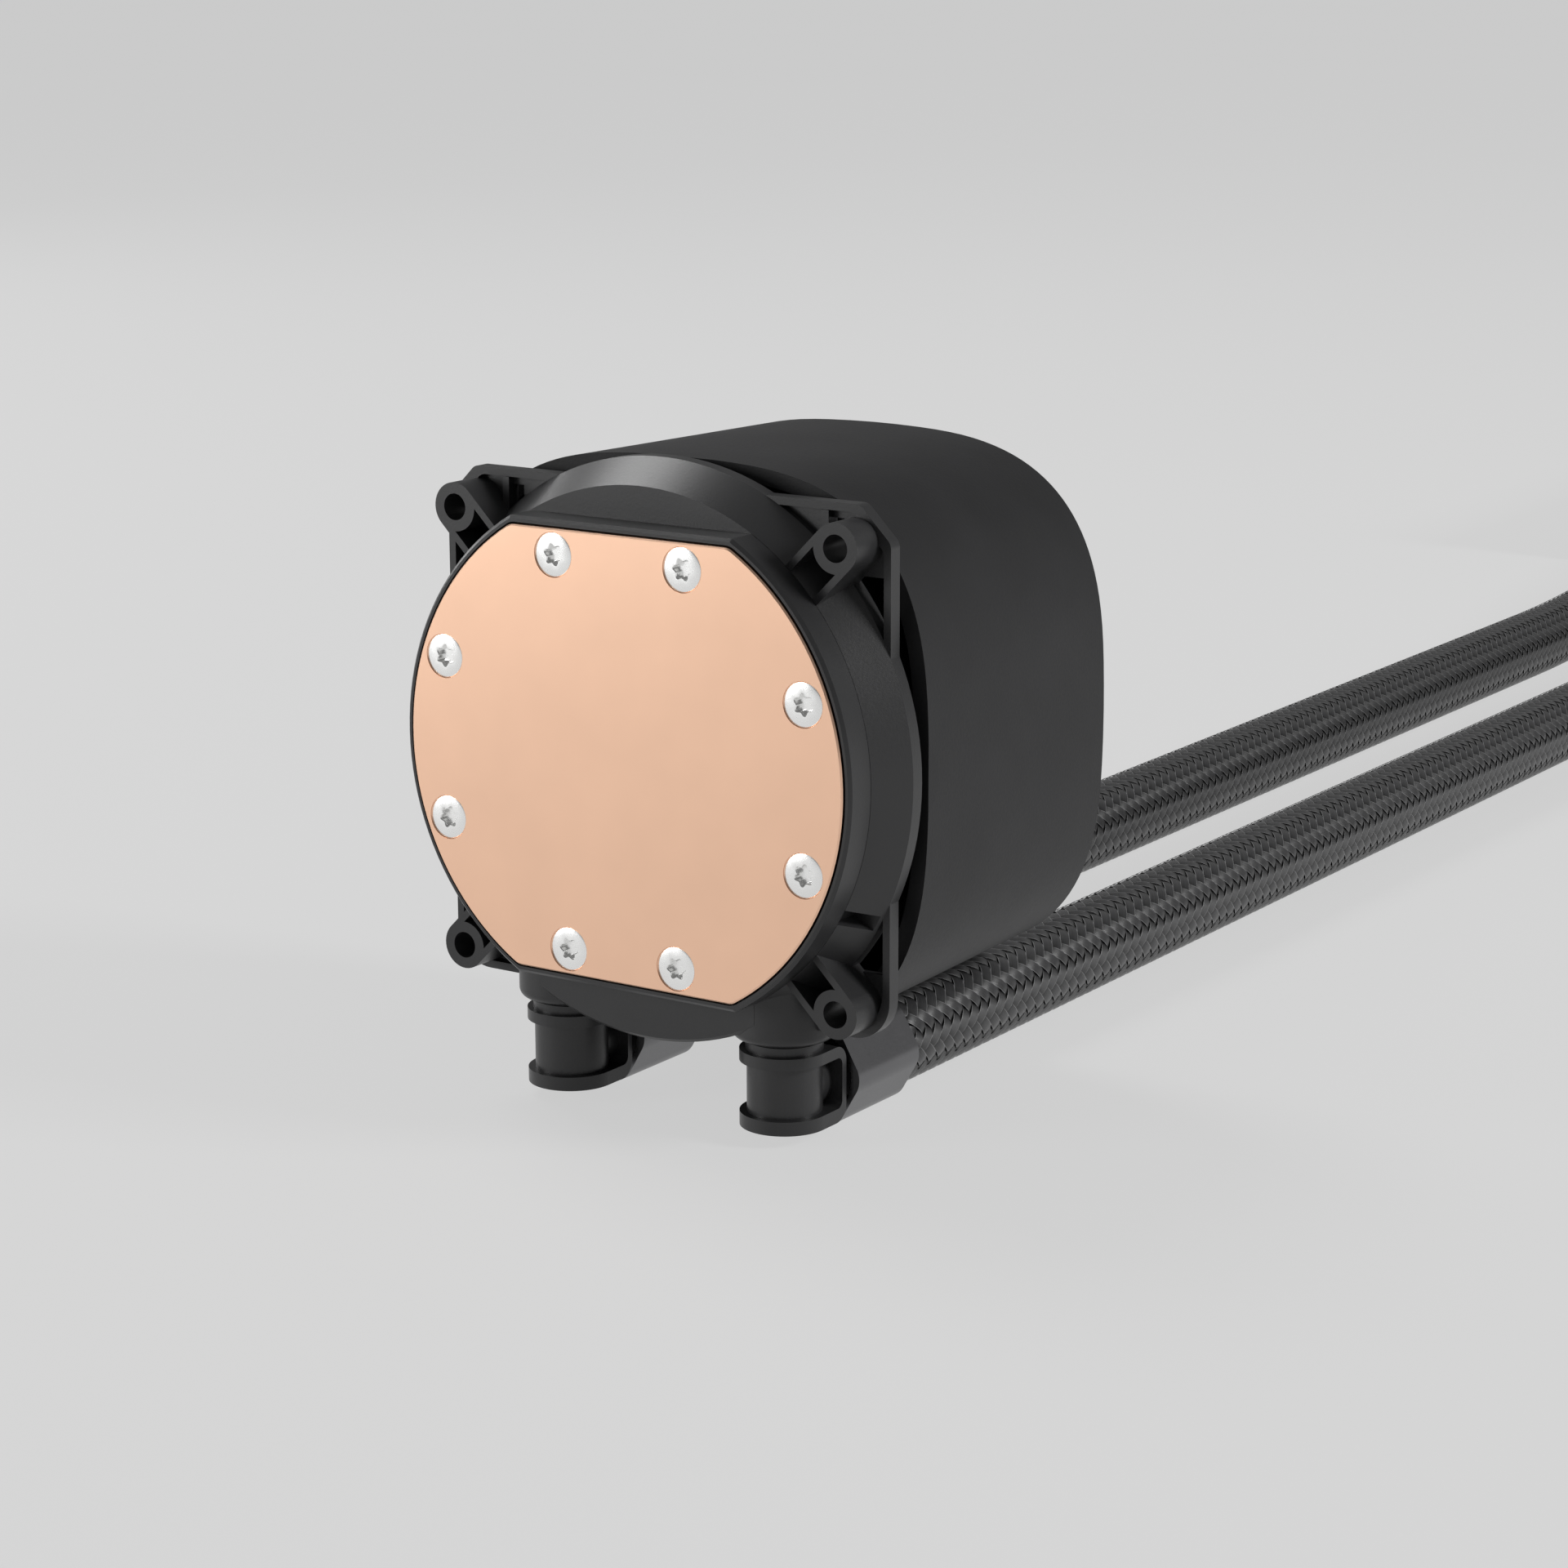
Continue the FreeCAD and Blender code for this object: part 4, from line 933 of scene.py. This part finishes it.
    def lift(self, turn: Turn, number: int, distance: float) -> float:
        """Work out how a yarn dips under and climbs over those of the other hand.

        Args:
            turn: The hand of the yarn.
            number: The yarn's number among those of its hand.
            distance: How far along the hose, from the fitting.

        Returns:
            Its height over the middle of the braid.
        """
        crossing = 2 * number + turn.value * 2 * self.carriers * distance / self.lay
        over = turn.value * math.cos(math.pi * (crossing - 0.5) / 2)
        return max(-1.0, min(1.0, self.plateau * over)) * self.wave

    def add_yarn(
        self,
        piece: Piece,
        uv_layer: bmesh.types.BMLayerItem,
        stations: list[tuple[float, Vector, Vector, Vector]],
        turn: Turn,
        number: int,
    ) -> None:
        """Add one yarn as a ribbon with a slightly crowned face.

        Args:
            piece: The piece that takes the yarn.
            uv_layer: The layer for the yarn's own coordinates.
            stations: The hose's middle line.
            turn: The hand of the yarn.
            number: The yarn's number among those of its hand.
        """
        lean = math.atan2(2 * math.pi * self.radius, self.lay)
        first = (number + self.start) / self.carriers
        lift_layer = piece.mesh.verts.layers.float["lift"]
        rows = []
        for distance, place, across, up in stations:
            lift = self.lift(turn, number, distance)
            free = self.radius - self.wave + lift
            radius = self.grip_radius + (free - self.grip_radius) * self.swell(place.y)
            middle = 2 * math.pi * (first + turn.value * distance / self.lay)
            ahead = up.cross(across)
            row = []
            for share in self.yarn_shares:
                shift = share * self.yarn_width / 2
                angle = middle + turn.value * shift * math.cos(lean) / self.radius
                radial = across * math.cos(angle) + up * math.sin(angle)
                drop = self.crown * abs(share) ** 3
                slide = ahead * (-shift * math.sin(lean))
                corner = piece.mesh.verts.new(place + radial * (radius - drop) + slide)
                corner[lift_layer] = 0.5 + 0.5 * lift / self.wave
                row.append((corner, share, distance))
            rows.append(row)
        for one, two in zip(rows, rows[1:]):
            for step in range(len(self.yarn_shares) - 1):
                quad = [one[step], one[step + 1], two[step + 1], two[step]]
                if turn is Turn.CLOCKWISE:
                    quad.reverse()
                face = piece.mesh.faces.new([corner for corner, _, _ in quad])
                for loop, (_, share, along) in zip(face.loops, quad):
                    loop[uv_layer].uv = (share / 2 + number, along / self.yarn_width)

    def build(self, palette: Palette) -> bpy.types.Object:
        """Args:
            palette: The finishes.

        Returns:
            The hose's object.
        """
        self.read_line()
        word = self.side.word
        piece = Piece(f"{word}_braided_hose")
        self.add_yarns(piece)
        self.add_core(piece)
        materials = [palette["hose_braid"], palette["seal_rubber"]]
        item = piece.finish(materials, self.smoothing)
        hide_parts(f"{word}_hose")
        start = self.line[0].copy()
        start.y = self.grip_ends[0]
        end = start.copy()
        end.y = self.grip_ends[1]
        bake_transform(item, f"{word}_elbow", "cooler", start=start, end=end)
        log.info("%s hose: %d faces", word, len(item.data.polygons))
        return item


@dataclass
class PlateScrews:
    """The eight sunk screws of the cold plate, with six lobed drives, in millimetres."""

    places: tuple[tuple[float, float], ...] = (
        (9.65, 24.85),
        (26.96, 10.4),
        (26.96, -10.4),
        (8.2, -24.85),
    )
    head_radius: float = 2.75
    shank_radius: float = 1.25
    sunk: float = 0.1
    length: float = 8.4
    tip: float = 0.3
    rim: float = 0.22
    rim_edge: float = 0.06
    rim_drop: float = 0.05
    mouth: float = 0.12
    draft: float = 0.05
    sides: int = 48
    first_turn: float = 5.0
    next_turn: float = 17.0
    lobe_radius: float = 1.14
    lobe_depth: float = 0.2
    drive_depth: float = 0.75
    smoothing: float = 25.0

    def add_screw(self, piece: Piece, x: float, z: float, turn: float) -> None:
        """Add one screw.

        Args:
            piece: The piece that takes the screw.
            x: The place of its axis, in millimetres.
            z: The place of its axis, in millimetres.
            turn: How far its drive is turned, in degrees.
        """
        made = bmesh.ops.create_circle(
            piece.mesh, cap_ends=False, segments=self.sides, radius=1.0
        )
        ring = made["verts"]
        edges = piece.mesh.edges[:]
        head = self.head_radius
        steps = [
            (self.shank_radius, self.sunk + self.length - self.tip, False),
            (self.shank_radius, self.sunk + head - self.shank_radius, False),
            (head, self.sunk + self.rim, False),
            (head - self.rim_edge, self.sunk + self.rim_drop, False),
            (head - self.rim, self.sunk, False),
            (self.lobe_radius + self.mouth, self.sunk, True),
            (self.lobe_radius, self.sunk + self.mouth, True),
            (self.lobe_radius - self.draft, self.sunk + self.drive_depth, True),
        ]
        angles = [math.atan2(vertex.co.y, vertex.co.x) for vertex in ring]
        for index, (radius, depth, lobed) in enumerate(steps):
            if index:
                made = bmesh.ops.extrude_edge_only(piece.mesh, edges=edges)
                ring = [part for part in made["geom"] if isinstance(part, bmesh.types.BMVert)]
                edges = [part for part in made["geom"] if isinstance(part, bmesh.types.BMEdge)]
                angles = [math.atan2(vertex.co.z, vertex.co.x) for vertex in ring]
            for vertex, angle in zip(ring, angles):
                reach = radius + (self.lobe_depth * math.cos(6 * angle) if lobed else 0.0)
                vertex.co = Vector((reach * math.cos(angle), depth, reach * math.sin(angle)))
        bmesh.ops.holes_fill(piece.mesh, edges=edges, sides=0)
        bmesh.ops.recalc_face_normals(piece.mesh, faces=piece.mesh.faces)
        turned = Matrix.Rotation(math.radians(turn), 4, "Y")
        bmesh.ops.transform(piece.mesh, matrix=turned, verts=piece.mesh.verts)
        place = Matrix.Translation(Vector((x, 0, z)))
        bmesh.ops.transform(piece.mesh, matrix=place, verts=piece.mesh.verts)

    def build(self, palette: Palette) -> bpy.types.Object:
        """Build the screws.

        Args:
            palette: The finishes.

        Returns:
            The object of all eight.
        """
        whole = Piece("plate_screws")
        places = list(self.places) + [(-x, z) for x, z in self.places]
        for index, (x, z) in enumerate(places):
            one = Piece("screw")
            self.add_screw(one, x, z, self.next_turn * index + self.first_turn)
            data = bpy.data.meshes.new("screw")
            one.mesh.to_mesh(data)
            one.mesh.free()
            whole.mesh.from_mesh(data)
            bpy.data.meshes.remove(data)
        bmesh.ops.scale(whole.mesh, vec=Vector((MM, MM, MM)), verts=whole.mesh.verts)
        item = whole.finish([palette["bright_steel"]], self.smoothing)
        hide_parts("cold_plate_screws")
        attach(item, "cooler")
        log.info("cold plate screws: %d faces", len(item.data.polygons))
        return item


@dataclass
class FoldedFins:
    """Thin fins folded between the radiator's flat tubes, at their real close pitch."""

    half_width: float = 58.8 * MM
    tubes: int = 12
    tube_thickness: float = 2.0 * MM
    pitch: float = 1.35 * MM
    thickness: float = 0.12 * MM
    smoothing: float = 20.0

    def build(self, palette: Palette) -> bpy.types.Object:
        """Build all rows of fins.

        Args:
            palette: The finishes.

        Returns:
            The object of all fins.
        """
        low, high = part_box("radiator_fins")
        width = (2 * self.half_width - self.tubes * self.tube_thickness) / (self.tubes + 1)
        folds = int((high.y - low.y) / self.pitch)
        piece = Piece("folded_fins")
        points = []
        for index in range(folds + 1):
            side = -1 if index % 2 else 1
            across = side * (width / 2 - self.thickness)
            along = low.y + (index + 0.5) * self.pitch
            points.append(piece.mesh.verts.new((across, along, low.z)))
        edges = [piece.mesh.edges.new(pair) for pair in zip(points, points[1:])]
        raised = bmesh.ops.extrude_edge_only(piece.mesh, edges=edges)
        tops = [part for part in raised["geom"] if isinstance(part, bmesh.types.BMVert)]
        bmesh.ops.translate(piece.mesh, vec=Vector((0, 0, high.z - low.z)), verts=tops)
        bmesh.ops.solidify(piece.mesh, geom=piece.mesh.faces[:], thickness=self.thickness)
        bmesh.ops.recalc_face_normals(piece.mesh, faces=piece.mesh.faces)
        row = piece.mesh.verts[:] + piece.mesh.edges[:] + piece.mesh.faces[:]
        step = width + self.tube_thickness
        start = Vector((-self.half_width + width / 2, 0, 0))
        bmesh.ops.translate(piece.mesh, vec=start, verts=piece.mesh.verts)
        for index in range(1, self.tubes + 1):
            copy = bmesh.ops.duplicate(piece.mesh, geom=row)
            moved = [part for part in copy["geom"] if isinstance(part, bmesh.types.BMVert)]
            bmesh.ops.translate(piece.mesh, vec=Vector((index * step, 0, 0)), verts=moved)
        item = piece.finish([palette["fin_metal"]], self.smoothing)
        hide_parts("radiator_fins")
        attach(item, "cooler")
        log.info("radiator fins: %d faces", len(item.data.polygons))
        return item


# Studio


@dataclass(frozen=True)
class Lamp:
    """A soft square lamp."""

    name: str
    place: tuple[float, float, float]
    size: float
    power: float

    def hang(self, target: tuple[float, float, float]) -> None:
        """Hang the lamp.

        Args:
            target: The point it looks at.
        """
        data = bpy.data.lights.new(self.name, "AREA")
        data.shape = "SQUARE"
        data.size = self.size
        data.energy = self.power
        item = bpy.data.objects.new(self.name, data)
        bpy.context.scene.collection.objects.link(item)
        aim = (Vector(target) - Vector(self.place)).to_track_quat("-Z", "Y")
        item.matrix_world = Matrix.Translation(Vector(self.place)) @ aim.to_matrix().to_4x4()


@dataclass
class Studio:
    """Floor, light and camera."""

    eye: tuple[float, float, float] = (0.27119, -0.36641, 0.10480)
    yaw: float = 0.592983
    pitch: float = 0.231783
    roll: float = -0.0030894
    lens: float = 87.864
    sensor: float = 36.0
    nearest: float = 0.01
    farthest: float = 50.0
    floor_height: float = -47.75 * MM
    floor_gap: float = 0.0002
    floor_radius: float = 8.0
    floor_sides: int = 96
    floor_tones: tuple[float, float] = (0.38, 0.4)
    floor_brightness: float = 0.84
    floor_share: float = 0.68
    target: tuple[float, float, float] = (0.0, 0.03, 0.0)
    lamps: tuple[Lamp, ...] = (
        Lamp("key", (-0.95, -0.95, 0.24), 0.5, 6.2),
        Lamp("left_top", (-0.74, 0.26, 0.98), 0.5, 5.6),
        Lamp("left_side", (-1.2, 0.45, 0.34), 0.4, 2.0),
        Lamp("right_top", (1.1, 0.35, 0.62), 0.3, 8.5),
        Lamp("right_low", (1.15, 0.35, 0.02), 0.3, 1.6),
    )
    air: float = 0.9
    ambient: float = 0.2
    backdrop: float = 0.48

    def add_camera(self) -> None:
        """Stand the camera where the photograph was taken."""
        look = Vector(
            (
                -math.sin(self.yaw) * math.cos(self.pitch),
                math.cos(self.yaw) * math.cos(self.pitch),
                -math.sin(self.pitch),
            )
        )
        level = Vector((math.cos(self.yaw), math.sin(self.yaw), 0.0))
        rise = level.cross(look)
        right = level * math.cos(self.roll) + rise * math.sin(self.roll)
        up = rise * math.cos(self.roll) - level * math.sin(self.roll)
        data = bpy.data.cameras.new("camera")
        data.lens = self.lens
        data.sensor_width = self.sensor
        data.clip_start = self.nearest
        data.clip_end = self.farthest
        camera = bpy.data.objects.new("camera", data)
        bpy.context.scene.collection.objects.link(camera)
        turn = Matrix((right, up, -look)).transposed().to_4x4()
        camera.matrix_world = Matrix.Translation(Vector(self.eye)) @ turn
        bpy.context.scene.camera = camera

    def add_floor(self) -> None:
        """Lay a wide pale floor under the cooler."""
        floor = Piece("floor")
        bmesh.ops.create_circle(
            floor.mesh, cap_ends=True, segments=self.floor_sides, radius=self.floor_radius
        )
        drop = Matrix.Translation(Vector((0, 0, self.floor_height - self.floor_gap)))
        bmesh.ops.transform(floor.mesh, matrix=drop, verts=floor.mesh.verts)
        shader = Shader("floor_paper")
        tone = shader.noise(shader.place(), 0.4, detail=2.0)
        low, high = ((grey, grey, grey) for grey in self.floor_tones)
        shader.feed("Base Color", shader.mixed(tone, low, high))
        shader.set("Roughness", 0.8)
        shader.set("Specular IOR Level", 0.1)
        shader.show_pale(self.floor_brightness, self.floor_share)
        floor.finish([shader.material])

    def add_light(self) -> None:
        """Hang the lamps and make the surroundings, which look pale to the camera."""
        for lamp in self.lamps:
            lamp.hang(self.target)
        world = bpy.data.worlds.new("surroundings")
        world.use_nodes = True
        bpy.context.scene.world = world
        nodes = world.node_tree.nodes
        links = world.node_tree.links
        ground = nodes["Background"]
        ground.inputs["Color"].default_value = (self.air, self.air, self.air, 1.0)
        rays = nodes.new("ShaderNodeLightPath")
        strength = nodes.new("ShaderNodeMath")
        strength.operation = "MULTIPLY_ADD"
        strength.inputs[1].default_value = self.backdrop
        strength.inputs[2].default_value = self.ambient
        links.new(rays.outputs["Is Camera Ray"], strength.inputs[0])
        links.new(strength.outputs["Value"], ground.inputs["Strength"])
        bpy.context.scene.view_settings.view_transform = "Standard"

    def build(self) -> None:
        """Set up the whole studio."""
        self.add_camera()
        self.add_floor()
        self.add_light()
        log.info("studio: floor, %d lamps and camera", len(self.lamps))


def main() -> None:
    """Dress the whole cooler."""
    logging.basicConfig(level=logging.INFO, format="%(name)s: %(message)s")
    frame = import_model()
    Studio().build()
    palette = Palette()
    for side in Side:
        BraidedHose(side).build(palette)
    palette.dress_nodes(frame)
    PlateScrews().build(palette)
    FoldedFins().build(palette)


if __name__ == "__main__":
    main()
